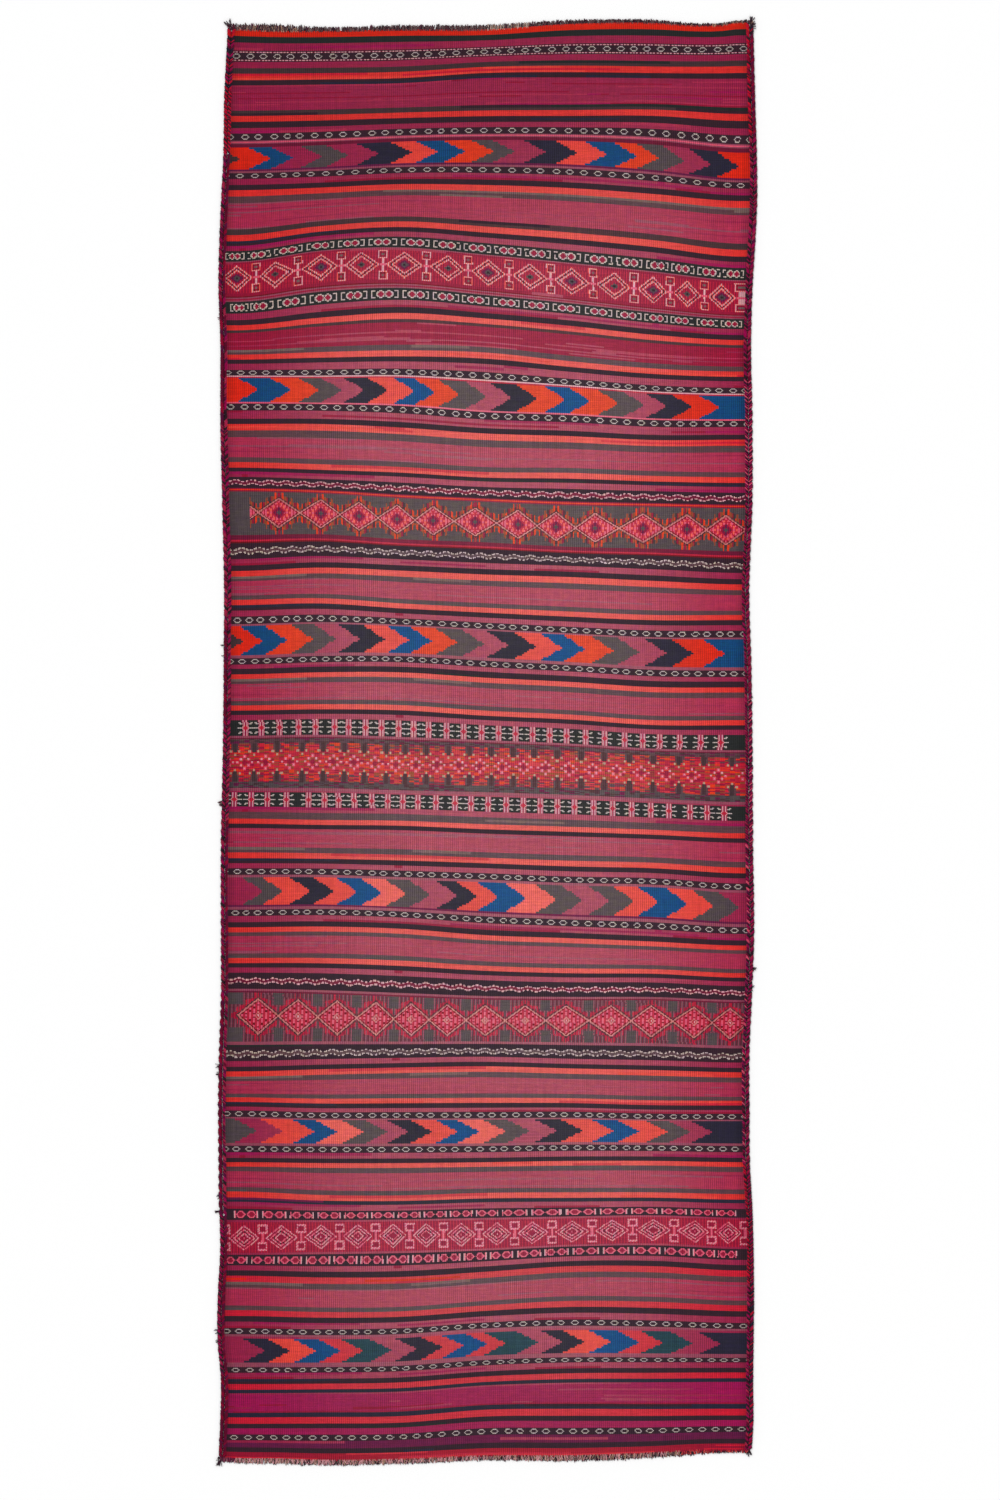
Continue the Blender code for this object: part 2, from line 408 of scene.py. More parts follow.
@dataclass(frozen=True)
class Stripe(Motif):
    """A plain stripe, with runs of another skein where it is wide."""

    yarn: Yarn = Yarn.PLUM
    mixed: float = 0.12
    run: int = 90
    pick: float = 2.0

    def paint(self, y: float, x: Array, height: float) -> Array:
        """Yarn of every warp of one pick; each pick draws its own runs."""
        rng = np.random.default_rng(int(y * 977) + 31 * self.yarn + int(height * 53) + len(x))
        picked = np.full(len(x), int(self.yarn))
        others = ODD_SKEINS.get(self.yarn, (self.yarn,))
        start = 0
        while start < len(x):
            stop = start + int(rng.exponential(self.run)) + 6
            if rng.random() < self.mixed:
                picked[start:stop] = int(others[rng.integers(len(others))])
            start = stop
        return picked


@dataclass(frozen=True)
class RingChain(Motif):
    """A chain of cream rings on black; a wide band has a pale dotted line above and below it."""

    first: float = 6
    pitch: float = 12.1
    dotted: bool = False
    chart: tuple[str, ...] = (
        "..oooo......",
        ".o....o.....",
        "o......o....",
        ".o....o.....",
        "..oooo......",
    )

    def rows(self, height: float) -> int:
        """Five picks for the rings and one on each side, and two more on each side for a dotted line."""
        return len(self.chart) + (6 if self.dotted else 2)

    def paint(self, y: float, x: Array, height: float) -> Array:
        """Yarn of every warp of one pick."""
        count = self.rows(height)
        row = int(y / height * count)
        margin = (count - len(self.chart)) // 2
        if self.dotted and row in (1, count - 2):
            return np.where((x + row) % 3.4 < 2.1, Yarn.PALE_PINK, Yarn.WINE)
        if not margin <= row < count - margin:
            return np.full(len(x), int(Yarn.BLACK))
        rng = np.random.default_rng(int(self.first * 101))
        starts = np.floor(self.first + self.pitch * np.arange(-2, 50) + rng.uniform(-0.7, 0.7, 52))
        number = np.clip(np.searchsorted(starts, x, side="right") - 1, 0, 51)
        cell = np.minimum(np.floor(x - starts[number]).astype(int), len(self.chart[0]) - 1)
        return chart_yarns(self.chart, row - margin, cell, {"o": Yarn.BONE}, Yarn.BLACK)


CHEVRON_YARNS = {
    "k": Yarn.NAVY,
    "r": Yarn.ORANGE_RED,
    "e": Yarn.RED,
    "o": Yarn.TERRACOTTA,
    "c": Yarn.CORAL,
    "s": Yarn.SALMON,
    "b": Yarn.BLUE,
    "t": Yarn.TEAL,
    "g": Yarn.OLIVE,
    "p": Yarn.PLUM,
    "d": Yarn.OLIVE_DARK,
}


@dataclass(frozen=True)
class Chevrons(Motif):
    """Chevrons that point to the right; each letter is a chevron's yarn and each tip its right-hand point."""

    pick: float = 1.8
    order: str = ""
    tips: tuple[int, ...] = ()
    reach: float = 22.0
    steps: int = 19

    def paint(self, y: float, x: Array, height: float) -> Array:
        """Yarn of every warp of one pick."""
        level = (math.floor(y / height * self.steps) + 0.5) / self.steps
        lag = self.reach * abs(2 * level - 1)
        yarns = np.array([CHEVRON_YARNS[letter] for letter in self.order])
        return yarns[np.searchsorted(np.array(self.tips) - lag, x)]


@dataclass(frozen=True)
class Brackets(Motif):
    """Pairs of small rings with crimson hearts, each pair between square brackets."""

    centres: tuple[int, ...] = ()
    ground: Yarn = Yarn.BOTTLE
    half: tuple[str, ...] = (
        "................",
        "................",
        "..cccc....ccc...",
        "..c.....ccmmmcc.",
        "..c....ccmmmmmc.",
        "..c....cmmmmmmmc",
        "..c....ccmmmmmc.",
        "..c.....ccmmmcc.",
        "..cccc....ccc...",
        "................",
        "................",
    )

    def rows(self, height: float) -> int:
        """One pick for each line of the chart."""
        return len(self.half)

    def paint(self, y: float, x: Array, height: float) -> Array:
        """Yarn of every warp of one pick."""
        row = int(y / height * len(self.half))
        chart = tuple(line + line[-2::-1] for line in self.half)
        dx, half, _ = nearest(np.array(self.centres, dtype=float), x)
        cell = np.floor((dx / half + 1) * len(chart[0]) / 2).astype(int)
        card = {"c": Yarn.CREAM, "m": Yarn.CLARET, "o": Yarn.PALE_PINK, "s": Yarn.PINK}
        return chart_yarns(chart, row, cell, card, self.ground)


FILLED_BRACKETS = (
    "................",
    "................",
    "..os...sssss....",
    "..os..ssmmmss...",
    "..os.ssmmmmmss..",
    "..osssmmmmmmmss.",
    "..os.ssmmmmmss..",
    "..os..ssmmmss...",
    "..os...sssss....",
    "................",
    "................",
)


@dataclass(frozen=True)
class Braid(Motif):
    """Two lines of pale dashes that wave together like a braid, with a dim line between them."""

    yarn: Yarn = Yarn.PALE_PINK
    between: Yarn = Yarn.GREY
    pick: float = 0.9
    first: float = 0
    wave: float = 17.0
    swing: float = 0.9
    spacing: float = 1.7

    def paint(self, y: float, x: Array, height: float) -> Array:
        """Yarn of every warp of one pick."""
        level = y - height / 2 - self.swing * np.sin(2 * math.pi * (x - self.first) / self.wave)
        picked = np.where(np.abs(level) < self.spacing, self.between, Yarn.BLACK).astype(int)
        for line in (-1, 1):
            near = np.abs(level - self.spacing * line) < 0.6
            dash = (x + 1.3 * line) % 4.1 < 2.7
            picked[near & dash] = int(self.yarn)
        return picked


def ribbed(x: Array, light: Yarn, dark: Yarn) -> Array:
    """A ground of one yarn with a thin line of a darker one along every third warp."""
    return np.where(np.floor(x) % 3 < 2, light, dark).astype(int)


@dataclass(frozen=True)
class TwinLineLozenges(Motif):
    """Lozenges with a dotted double outline and a dark eye, and a post with two blocks between each two."""

    pick: float = 1.05
    centres: tuple[int, ...] = ()

    def paint(self, y: float, x: Array, height: float) -> Array:
        """Yarn of every warp of one pick."""
        dx, half, number = nearest(np.array(self.centres, dtype=float), x)
        dy = abs(y - height / 2)
        level = np.abs(dx) / (half - 3.5) + dy / 13.0
        picked = ribbed(x, Yarn.CLARET, Yarn.CRIMSON)
        pale = np.where(np.floor(x) % 2 < 1, Yarn.PALE_PINK, Yarn.SALMON)
        between = (level > 0.72) & (level < 0.93)
        picked[between] = np.where(np.floor(x) % 3 < 1, Yarn.BLACK, Yarn.CLARET)[between]
        outer = (level >= 0.9) & (level < 1.03)
        picked[outer] = pale[outer]
        inner = (level >= 0.6) & (level < 0.73)
        picked[inner] = pale[inner]
        eye = np.abs(dx) / 7 + dy / 5
        picked[(eye < 1.0) & (number % 2 == 0)] = int(Yarn.PURPLE)
        picked[eye < 0.6] = int(Yarn.OLIVE)
        picked[eye < 0.3] = int(Yarn.BLACK)
        side = half - np.abs(dx)
        picked[(side < 0.9) & (dy < 6.5)] = int(Yarn.PALE_PINK)
        picked[(side < 3.0) & (dy < 0.8)] = int(Yarn.PINK)
        up = abs(dy - 10.4)
        block = (side < 4.5) & (up < 3.9)
        picked[block] = int(Yarn.CLARET)
        picked[block & (side > 1.4) & (side < 2.8) & (up > 1.0)] = int(Yarn.OXBLOOD)
        picked[block & (side < 1.2) & (up < 1.4)] = int(Yarn.DUSTY)
        rim = block & ((side > 3.3) | (up > 2.9))
        picked[rim] = pale[rim]
        return picked


@dataclass(frozen=True)
class RingedLozenges(Motif):
    """Lozenges in beaded outlines, with a post of two beaded blocks between each two."""

    pick: float = 0.95
    centres: tuple[int, ...] = ()

    def paint(self, y: float, x: Array, height: float) -> Array:
        """Yarn of every warp of one pick."""
        dx, half, _ = nearest(np.array(self.centres, dtype=float), x)
        dy = abs(y - height / 2)
        level = np.abs(dx) / (half - 3.0) + dy / 11.8
        picked = ribbed(x, Yarn.CLARET, Yarn.CRIMSON)
        picked[level < 1.0] = int(Yarn.CLARET)
        bead = np.where((np.floor(x) + int(y / self.pick)) % 3 < 1, Yarn.PALE_PINK, Yarn.PINK)
        for ring in (0.95, 0.67, 0.38, 0.0):
            on_ring = np.abs(level - ring) < 0.06
            picked[on_ring] = bead[on_ring]
        dark = (np.abs(level - 0.53) < 0.07) & (np.floor(x) % 3 < 1)
        picked[dark] = int(Yarn.BLACK)
        side = half - np.abs(dx)
        block = (side < 4.7) & (4.2 < dy) & (dy < 12.2)
        picked[block] = int(Yarn.CLARET)
        rim = block & ((side > 3.2) | (dy > 10.9) | (dy < 5.5))
        picked[rim] = bead[rim]
        picked[(side < 1.2) & (dy <= 4.2)] = int(Yarn.PINK)
        if dy > height / 2 - 1.6:
            picked[:] = int(Yarn.PLUM)
        return picked


@dataclass(frozen=True)
class ToothedLozenges(Motif):
    """Large lozenges that cross at their tips, with petals in each and toothed flames between them."""

    pick: float = 1.0
    centres: tuple[int, ...] = ()
    rosy: bool = False
    tall: float = 15.6
    starts: float = 18

    def paint(self, y: float, x: Array, height: float) -> Array:
        """Yarn of every warp of one pick."""
        dx, half, _ = nearest(np.array(self.centres, dtype=float), x)
        dy = abs(y - height / 2)
        across = np.abs(dx)
        side = half - across
        level = across / (half + 1.3) + dy / self.tall
        picked = self.surround(level, side, dy)
        for low, high, yarn in (
            (1.0, 1.09, Yarn.OLIVE_DARK),
            (0.90, 1.0, Yarn.SAND),
            (0.82, 0.90, Yarn.OXBLOOD),
        ):
            picked[(level >= low) & (level < high)] = int(yarn)
        inside = level < 0.82
        picked[inside] = self.petals(across, dy)[inside]
        picked[x < self.starts] = int(Yarn.OLIVE)
        return picked

    def surround(self, level: Array, side: Array, dy: float) -> Array:
        """Yarns outside the lozenges: flames along their edges, and the ground past them."""
        tooth = np.floor(side / 1.5).astype(int)
        reach = (1.14 if self.rosy else 1.26) + 0.14 * (tooth % 2) + 0.09 * (tooth % 3)
        lit = level < reach
        if self.rosy:
            ground = np.array((Yarn.GREY, Yarn.MAUVE, Yarn.GREY, Yarn.WINE), dtype=int)
            picked = ground[np.floor(side).astype(int) % 4]
            picked[lit] = np.where(tooth % 2, Yarn.CRIMSON, Yarn.CLARET)[lit]
            patch = (side < 4.0 + 0.6 * (int(dy) % 3)) & (dy > 10.0) & (level > 1.35)
            picked[patch] = int(Yarn.OLIVE)
            return picked
        picked = np.full(len(side), int(Yarn.OLIVE))
        flames = np.array((Yarn.RUST, Yarn.TERRACOTTA, Yarn.OLIVE_DARK, Yarn.CLARET, Yarn.RUST), dtype=int)
        picked[lit] = flames[tooth % 5][lit]
        return picked

    def petals(self, across: Array, dy: float) -> Array:
        """Yarns inside the lozenges: upright dashes round an eye."""
        line = np.floor((across + 0.8) / 1.6).astype(int)
        if self.rosy:
            line = np.floor((across + 1.0) / 2.0).astype(int)
            picked = np.where(line % 2, Yarn.CRIMSON, Yarn.PINK).astype(int)
            picked[(line % 2 == 0) & ((dy + 1.4 * line) % 5.2 > 3.7)] = int(Yarn.OXBLOOD)
            eye = across / 3.6 + dy / 3.6
            picked[eye < 1.1] = int(Yarn.SAND)
            picked[eye < 0.65] = int(Yarn.CRIMSON)
            picked[eye < 0.3] = int(Yarn.PALE_PINK)
            return picked
        dash = np.floor((dy + 1.3 * (line % 2)) / 2.6).astype(int)
        cards = np.array((Yarn.PINK, Yarn.CRIMSON, Yarn.SALMON, Yarn.PINK, Yarn.CRIMSON), dtype=int)
        picked = cards[(line + 2 * dash) % 5]
        eye = across / 6.6 + dy / 7.6
        picked[(eye < 1.25) & ((line + dash) % 2 == 0)] = int(Yarn.CRIMSON)
        picked[eye < 0.9] = int(Yarn.CLARET)
        picked[(eye < 0.75) & (np.floor(across) % 2 == 0)] = int(Yarn.PURPLE)
        picked[eye < 0.36] = int(Yarn.OLIVE)
        return picked


@dataclass(frozen=True)
class Combs(Motif):
    """Combs: upright stems round a small rosy heart, with three short arms that branch to each side."""

    centres: tuple[int, ...] = ()
    half: tuple[str, ...] = (
        "mpm......",
        "mpm......",
        "mpm..oo..",
        "mpmooo...",
        "mpm......",
        "rpm......",
        "rrp......",
        "rrrpoooo.",
    )

    def rows(self, height: float) -> int:
        """The half chart read down and back up, about its last line."""
        return 2 * len(self.half) - 1

    def paint(self, y: float, x: Array, height: float) -> Array:
        """Yarn of every warp of one pick."""
        count = self.rows(height)
        row = int(y / height * count)
        if row >= len(self.half):
            row = count - 1 - row
        dx = np.abs(nearest(np.array(self.centres, dtype=float), x)[0])
        card = {"o": Yarn.BONE, "p": Yarn.PALE_PINK, "r": Yarn.CRIMSON, "m": Yarn.PLUM}
        return chart_yarns(self.half, row, np.floor(dx).astype(int), card, Yarn.BOTTLE)


@dataclass(frozen=True)
class Stars(Motif):
    """Dotted diamonds on a fiery ground, between dark notches with pale dots that reach in from both edges."""

    pick: float = 1.1
    centres: tuple[int, ...] = ()
    raised: float = 1.8

    def paint(self, y: float, x: Array, height: float) -> Array:
        """Yarn of every warp of one pick."""
        dx, half, _ = nearest(np.array(self.centres, dtype=float), x)
        side = np.abs(dx)
        dy = abs(y - height / 2 + self.raised)
        upper = y < height / 2
        rng = np.random.default_rng(int(y * 31))
        streak = np.repeat(rng.random(len(x) // 5 + 1), 5)[: len(x)]
        shares = np.searchsorted((0.20, 0.32, 0.62, 0.84), streak)
        yarns = np.array((Yarn.RED, Yarn.TERRACOTTA, Yarn.CRIMSON, Yarn.RUST, Yarn.CLARET), dtype=int)
        picked = yarns[shares]
        if dy > 12.5:
            picked[streak > 0.35] = int(Yarn.CLARET)
            picked[streak > 0.66] = int(Yarn.RUST)
            picked[streak > 0.82] = int(Yarn.GREY)
        halo = (side < 4.0 - 0.5 * (int(dy) % 2)) & (dy > 12.2)
        picked[halo] = int(Yarn.GREY)
        picked[(side < 2.1) & (dy > 9.2)] = int(Yarn.OLIVE_DARK)
        if dy > (18.5 if upper else 20.3):
            picked[:] = int(Yarn.GREY if upper else Yarn.OLIVE)
            picked[streak > 0.6] = int(Yarn.OLIVE_DARK)
            picked[streak > 0.88] = int(Yarn.PURPLE)
        between = half - side
        picked[between / 3.2 + dy / 3.2 < 1] = int(Yarn.CLARET)
        for across, above in ((0, 6), (3.7, 3), (7.4, 0)):
            dot = np.maximum(np.abs(between - across), abs(dy - above))
            picked[dot < 1.35] = int(Yarn.PINK)
            picked[dot < 0.7] = int(Yarn.PALE_PINK)
        for across, above in ((4.3, 10.8), (0, 7.8)):
            picked[(np.abs(side - across) < 1.1) & (abs(dy - above) < 0.9)] = int(Yarn.BEIGE)
        return picked


@dataclass(frozen=True)
class Band:
    """One stripe or motif of the cloth and its height in millimetres."""

    motif: Motif
    height: float


@dataclass(frozen=True)
class Panel:
    """The bands from one wide stripe to the next, which fills what they leave; distances in millimetres."""

    down: float
    bands: tuple[Band, ...]
    wide: Yarn


def plain(yarn: Yarn, height: float, mixed: float = 0.12, pick: float = 2.3) -> Band:
    """A plain stripe of the given height in millimetres."""
    return Band(Stripe(yarn=yarn, mixed=mixed, pick=pick), height)


PAIRS_2_HIGH = (15, 37, 68, 101, 131, 162, 195, 227, 257, 288, 318, 347, 379, 411, 439, 463, 491, 515)
PAIRS_2_LOW = (19, 39, 71, 104, 134, 165, 196, 226, 255, 287, 316, 346, 379, 409, 437, 462, 488, 512)
PAIRS_10_HIGH = (26, 54, 82, 109, 136, 163, 189, 215, 241, 267, 293, 325, 362, 394, 425, 454, 483, 506)
PAIRS_10_LOW = (16, 43, 70, 98, 126, 152, 178, 203, 229, 255, 281, 309, 336, 365, 396, 427, 457, 485, 507)
COMBS_HIGH = (25, 41, 59, 78, 95, 114, 128, 145, 161, 178, 193, 208, 226, 243, 261, 278, 295, 312, 329, 346,
              365, 384, 404, 422, 439, 459, 480, 500)
COMBS_LOW = (14, 31, 47, 66, 88, 104, 118, 134, 152, 168, 183, 198, 216, 235, 251, 268, 286, 303, 320, 337,
             354, 373, 392, 412, 431, 449, 470, 487, 504)
NOTCHES = (15, 34, 57, 82, 103, 124, 144, 166, 185, 206, 228, 249, 271, 293, 314, 337, 361, 384, 409, 433,
           459, 484, 512)
DIAMONDS_HIGH = (17, 55, 101, 141, 184, 228, 268, 310, 352, 395, 434, 468, 503)
DIAMONDS_LOW = (24, 61, 101, 138, 173, 206, 241, 277, 312, 352, 392, 433, 475, 508)
LOZENGES_HIGH = (18, 59, 101, 139, 177, 213, 255, 298, 336, 375, 423, 467, 506)
LOZENGES_LOW = (38, 78, 117, 156, 191, 227, 265, 305, 346, 391, 431, 474, 510)

PANELS = (
    Panel(
        down=0.0,
        bands=(
            plain(Yarn.ORANGE_RED, 12.6),
            plain(Yarn.BOTTLE, 12.6),
            plain(Yarn.PLUM, 15.2),
            Band(RingChain(first=13.0, pitch=13.7, dotted=True), 22.0),
            plain(Yarn.PLUM, 12.6),
            plain(Yarn.OLIVE_DARK, 11.5),
            plain(Yarn.ORANGE, 13.8, mixed=0.3),
            plain(Yarn.BLACK, 12.0),
        ),
        wide=Yarn.PLUM,
    ),
    Panel(
        down=174.4,
        bands=(
            plain(Yarn.OLIVE_DARK, 12.7, mixed=0.4),
            plain(Yarn.ORANGE, 12.9),
            plain(Yarn.BLACK, 13.8),
            plain(Yarn.PLUM, 11.6),
            Band(RingChain(first=7.2, pitch=14.05), 15.4),
            plain(Yarn.MAUVE, 2.3),
            plain(Yarn.PINK, 2.4),
            plain(Yarn.MAUVE, 2.3),
            plain(Yarn.WINE, 7.6),
            Band(
                Chevrons(
                    order="drbpgpkcbogpkcbogpkr",
                    tips=(20, 50, 73, 102, 128, 158, 192, 217, 245, 273, 294, 325, 357, 386, 416, 438, 464,
                          490, 518),
                ),
                52.0,
            ),
            plain(Yarn.PURPLE, 4.6),
            plain(Yarn.MAUVE, 4.6),
            Band(RingChain(first=2.5, pitch=14.3), 15.0),
            plain(Yarn.PLUM, 15.0),
            plain(Yarn.BLACK, 12.7),
            plain(Yarn.ORANGE, 13.9),
            plain(Yarn.GREY, 14.6, mixed=0.4),
        ),
        wide=Yarn.ROSE,
    ),
    Panel(
        down=442.4,
        bands=(
            plain(Yarn.OLIVE_DARK, 12.7),
            plain(Yarn.ORANGE, 13.9),
            plain(Yarn.BLACK, 11.5),
            plain(Yarn.PLUM, 12.7),
            Band(Brackets(centres=PAIRS_2_HIGH), 26.6),
            plain(Yarn.MAUVE, 2.3),
            plain(Yarn.CLARET, 4.6),
            Band(TwinLineLozenges(centres=DIAMONDS_HIGH), 68.1),
            plain(Yarn.CLARET, 6.9),
            plain(Yarn.OXBLOOD, 2.5),
            plain(Yarn.MAUVE, 3.0),
            plain(Yarn.CLARET, 3.1),
            plain(Yarn.MAUVE, 3.0),
            Band(Brackets(centres=PAIRS_2_LOW), 26.3),
            plain(Yarn.PLUM, 15.0),
            plain(Yarn.BLACK, 12.9),
            plain(Yarn.ORANGE, 12.4),
            plain(Yarn.OLIVE_DARK, 6.9),
        ),
        wide=Yarn.CLARET,
    ),
    Panel(
        down=733.4,
        bands=(
            plain(Yarn.GREY, 12.7),
            plain(Yarn.ORANGE, 13.9, mixed=0.3),
            plain(Yarn.BLACK, 12.7),
            plain(Yarn.PLUM, 18.5),
            Band(RingChain(first=3.8, pitch=12.95), 17.3),
            plain(Yarn.PALE_PINK, 3.5, pick=1.5),
            plain(Yarn.CRIMSON, 3.4, pick=1.5),
            Band(
                Chevrons(
                    order="rbogpkcbogpkobogpkrb",
                    tips=(39, 72, 100, 123, 145, 169, 195, 216, 240, 267, 292, 318, 346, 371, 399, 425, 447,
                          473, 500),
                ),
                64.7,
            ),
            plain(Yarn.PINK, 3.5),
            Band(RingChain(first=7.8, pitch=13.2), 17.3),
            plain(Yarn.PLUM, 19.6),
            plain(Yarn.BLACK, 12.7),
            plain(Yarn.ORANGE, 15.0, mixed=0.3),
            plain(Yarn.GREY, 16.2),
        ),
        wide=Yarn.ROSE,
    ),
    Panel(
        down=1010.6,
        bands=(
            plain(Yarn.GREY, 11.5),
            plain(Yarn.ORANGE, 12.7),
            plain(Yarn.BLACK, 9.2),
            plain(Yarn.PLUM, 12.7),
            Band(Braid(between=Yarn.WINE, first=3), 26.2),
            plain(Yarn.CLARET, 2.3),
            plain(Yarn.TERRACOTTA, 2.6),
            plain(Yarn.CLARET, 2.6),
            plain(Yarn.GREY, 2.0),
            Band(ToothedLozenges(centres=LOZENGES_HIGH, starts=30, tall=14.4), 92.0),
            plain(Yarn.WINE, 9.2),
            plain(Yarn.CRIMSON, 3.5),
            plain(Yarn.OXBLOOD, 3.0),
            Band(Braid(yarn=Yarn.CREAM, first=9), 32.0),
            plain(Yarn.PLUM, 13.9),
            plain(Yarn.BLACK, 12.7),
            plain(Yarn.ORANGE, 13.9),
            plain(Yarn.GREY, 12.7),
        ),
        wide=Yarn.ROSE,
    ),
    Panel(
        down=1324.8,
        bands=(
            plain(Yarn.GREY, 10.4),
            plain(Yarn.ORANGE, 11.5),
            plain(Yarn.BLACK, 11.5),
            plain(Yarn.PLUM, 11.5),
            Band(RingChain(first=1.1, pitch=12.05), 15.0),
            plain(Yarn.MAUVE, 3.5),
            Band(
                Chevrons(
                    order="drbogpkcbogpkcbogpkrb",
                    tips=(23, 42, 67, 93, 116, 140, 165, 189, 212, 237, 264, 288, 316, 342, 365, 393, 419, 446,
                          473, 504),
                ),
                62.4,
            ),
            plain(Yarn.MAUVE, 7.0),
            Band(RingChain(first=6.7, pitch=12.0), 15.1),
            plain(Yarn.PLUM, 10.4),
            plain(Yarn.BLACK, 13.9),
            plain(Yarn.ORANGE, 11.5),
            plain(Yarn.GREY, 12.7),
        ),
        wide=Yarn.ROSE,
    ),
    Panel(
        down=1562.7,
        bands=(
            plain(Yarn.GREY, 10.4),
            plain(Yarn.ORANGE, 11.5),
            plain(Yarn.BLACK, 10.4),
            plain(Yarn.PLUM, 11.5),
            Band(Combs(centres=COMBS_HIGH), 34.7),
            plain(Yarn.MAUVE, 4.6),
            plain(Yarn.WINE, 2.3),
            Band(Stars(centres=NOTCHES), 113.2),
            plain(Yarn.MAUVE, 6.9),
            plain(Yarn.PLUM, 3.5),
            Band(Combs(centres=COMBS_LOW), 34.7),
            plain(Yarn.PLUM, 12.7),
            plain(Yarn.GREY, 16.2, mixed=0.3),
            plain(Yarn.ORANGE, 11.5),
            plain(Yarn.BLACK, 10.4),
        ),
        wide=Yarn.ROSE,
    ),
    Panel(
        down=1900.0,
        bands=(
            plain(Yarn.GREY, 12.7),
            plain(Yarn.ORANGE, 12.7),
            plain(Yarn.BLACK, 11.5),
            plain(Yarn.PLUM, 11.5),
            Band(RingChain(first=0.9, pitch=12.25), 15.0),
            plain(Yarn.MAUVE, 5.8),
            Band(
                Chevrons(
                    order="pgckcbsgpkcbsgpgcbcgp",
                    tips=(44, 64, 91, 115, 138, 163, 187, 211, 238, 258, 279, 307, 337, 363, 390, 415, 439, 468,
                          494, 520),
                ),
                67.0,
            ),
            plain(Yarn.PURPLE, 4.6),
            plain(Yarn.MAUVE, 6.9),
            Band(RingChain(first=10.5, pitch=12.2), 16.2),
            plain(Yarn.PLUM, 15.0),
            plain(Yarn.BLACK, 12.7),
            plain(Yarn.ORANGE, 11.5),
            plain(Yarn.GREY, 9.2),
        ),
        wide=Yarn.ROSE,
    ),
    Panel(
        down=2151.8,
        bands=(
            plain(Yarn.GREY, 10.4),
            plain(Yarn.ORANGE, 11.5),
            plain(Yarn.BLACK, 10.4),
            plain(Yarn.PLUM, 11.5),
            Band(Braid(between=Yarn.WINE, first=6), 36.5),
            plain(Yarn.MAUVE, 4.6),
            plain(Yarn.WINE, 3.5),
            Band(ToothedLozenges(centres=LOZENGES_LOW, rosy=True, starts=9), 96.6),
            plain(Yarn.MAUVE, 5.6),
            plain(Yarn.BLACK, 3.4),
            Band(Braid(yarn=Yarn.CREAM, first=14), 26.6),
            plain(Yarn.PLUM, 11.5),
            plain(Yarn.BLACK, 10.4),
            plain(Yarn.ORANGE, 12.7),
            plain(Yarn.GREY, 12.7),
        ),
        wide=Yarn.ROSE,
    ),
    Panel(
        down=2456.7,
        bands=(
            plain(Yarn.GREY, 10.4),
            plain(Yarn.ORANGE, 11.5, mixed=0.4),
            plain(Yarn.BLACK, 11.5),
            plain(Yarn.PLUM, 9.2),
            Band(RingChain(first=3.5, pitch=12.05), 15.0),
            plain(Yarn.MAUVE, 3.4),
            Band(
                Chevrons(
                    order="ggpcbsgpkcbsgpkcbcgpkk",
                    tips=(14, 36, 62, 94, 117, 143, 167, 188, 212, 237, 259, 285, 309, 336, 362, 393, 419, 447,
                          470, 492, 521),
                ),
                54.3,
            ),
            plain(Yarn.MAUVE, 5.8),
            Band(RingChain(first=1.3, pitch=12.15), 15.0),
            plain(Yarn.PLUM, 12.7),
            plain(Yarn.BLACK, 10.4),
            plain(Yarn.ORANGE, 10.4),
            plain(Yarn.GREY, 11.5),
        ),
        wide=Yarn.ROSE,
    ),
    Panel(
        down=2676.1,
        bands=(
            plain(Yarn.GREY, 10.4),
            plain(Yarn.ORANGE, 12.7),
            plain(Yarn.NAVY, 9.2),
            plain(Yarn.PLUM, 13.9),
            Band(Brackets(centres=PAIRS_10_HIGH, half=FILLED_BRACKETS, ground=Yarn.BLACK), 22.0),
            Band(RingedLozenges(centres=DIAMONDS_LOW), 75.1),
            Band(Brackets(centres=PAIRS_10_LOW, half=FILLED_BRACKETS, ground=Yarn.BLACK), 25.4),
            plain(Yarn.PLUM, 11.5),
            plain(Yarn.BLACK, 12.7),
            plain(Yarn.RED, 13.9),
            plain(Yarn.GREY, 12.7),
        ),
        wide=Yarn.ROSE,
    ),
    Panel(
        down=2936.0,
        bands=(
            plain(Yarn.GREY, 10.4),
            plain(Yarn.RED, 12.7),
            plain(Yarn.BLACK, 12.7),
            plain(Yarn.PLUM, 13.9),
            Band(RingChain(first=3.0, pitch=12.9), 13.9),
            plain(Yarn.MAUVE, 4.6),
            plain(Yarn.PLUM, 4.6),
            Band(
                Chevrons(
                    order="pkcbetpkebetpkcbetpk",
                    tips=(44, 69, 95, 120, 142, 171, 196, 222, 243, 267, 285, 318, 342, 364, 390, 419, 442, 472,
                          500),
                ),
                53.5,
            ),
            plain(Yarn.MAUVE, 10.0),
            Band(RingChain(first=11.7, pitch=13.2), 12.7),
            plain(Yarn.PLUM, 13.9),
            plain(Yarn.BLACK, 11.5),
            plain(Yarn.RED, 12.7),
            plain(Yarn.NAVY, 8.1),
        ),
        wide=Yarn.MAGENTA,
    ),
    Panel(
        down=3176.4,
        bands=(
            plain(Yarn.NAVY, 11.0),
            plain(Yarn.RED, 15.4),
            plain(Yarn.BLACK, 11.6),
            plain(Yarn.MAGENTA, 15.4),
            Band(RingChain(first=10.8, pitch=13.0), 15.6),
            plain(Yarn.PURPLE, 18.4, mixed=0.3),
            plain(Yarn.BLACK, 12.6),
        ),
        wide=Yarn.GARNET,
    ),
)


@dataclass(frozen=True)
class Pick:
    """One pick of the woven cloth: its edges down the middle in millimetres, its warps' yarns, its height."""

    top: float
    bottom: float
    yarns: Array
    raised: bool


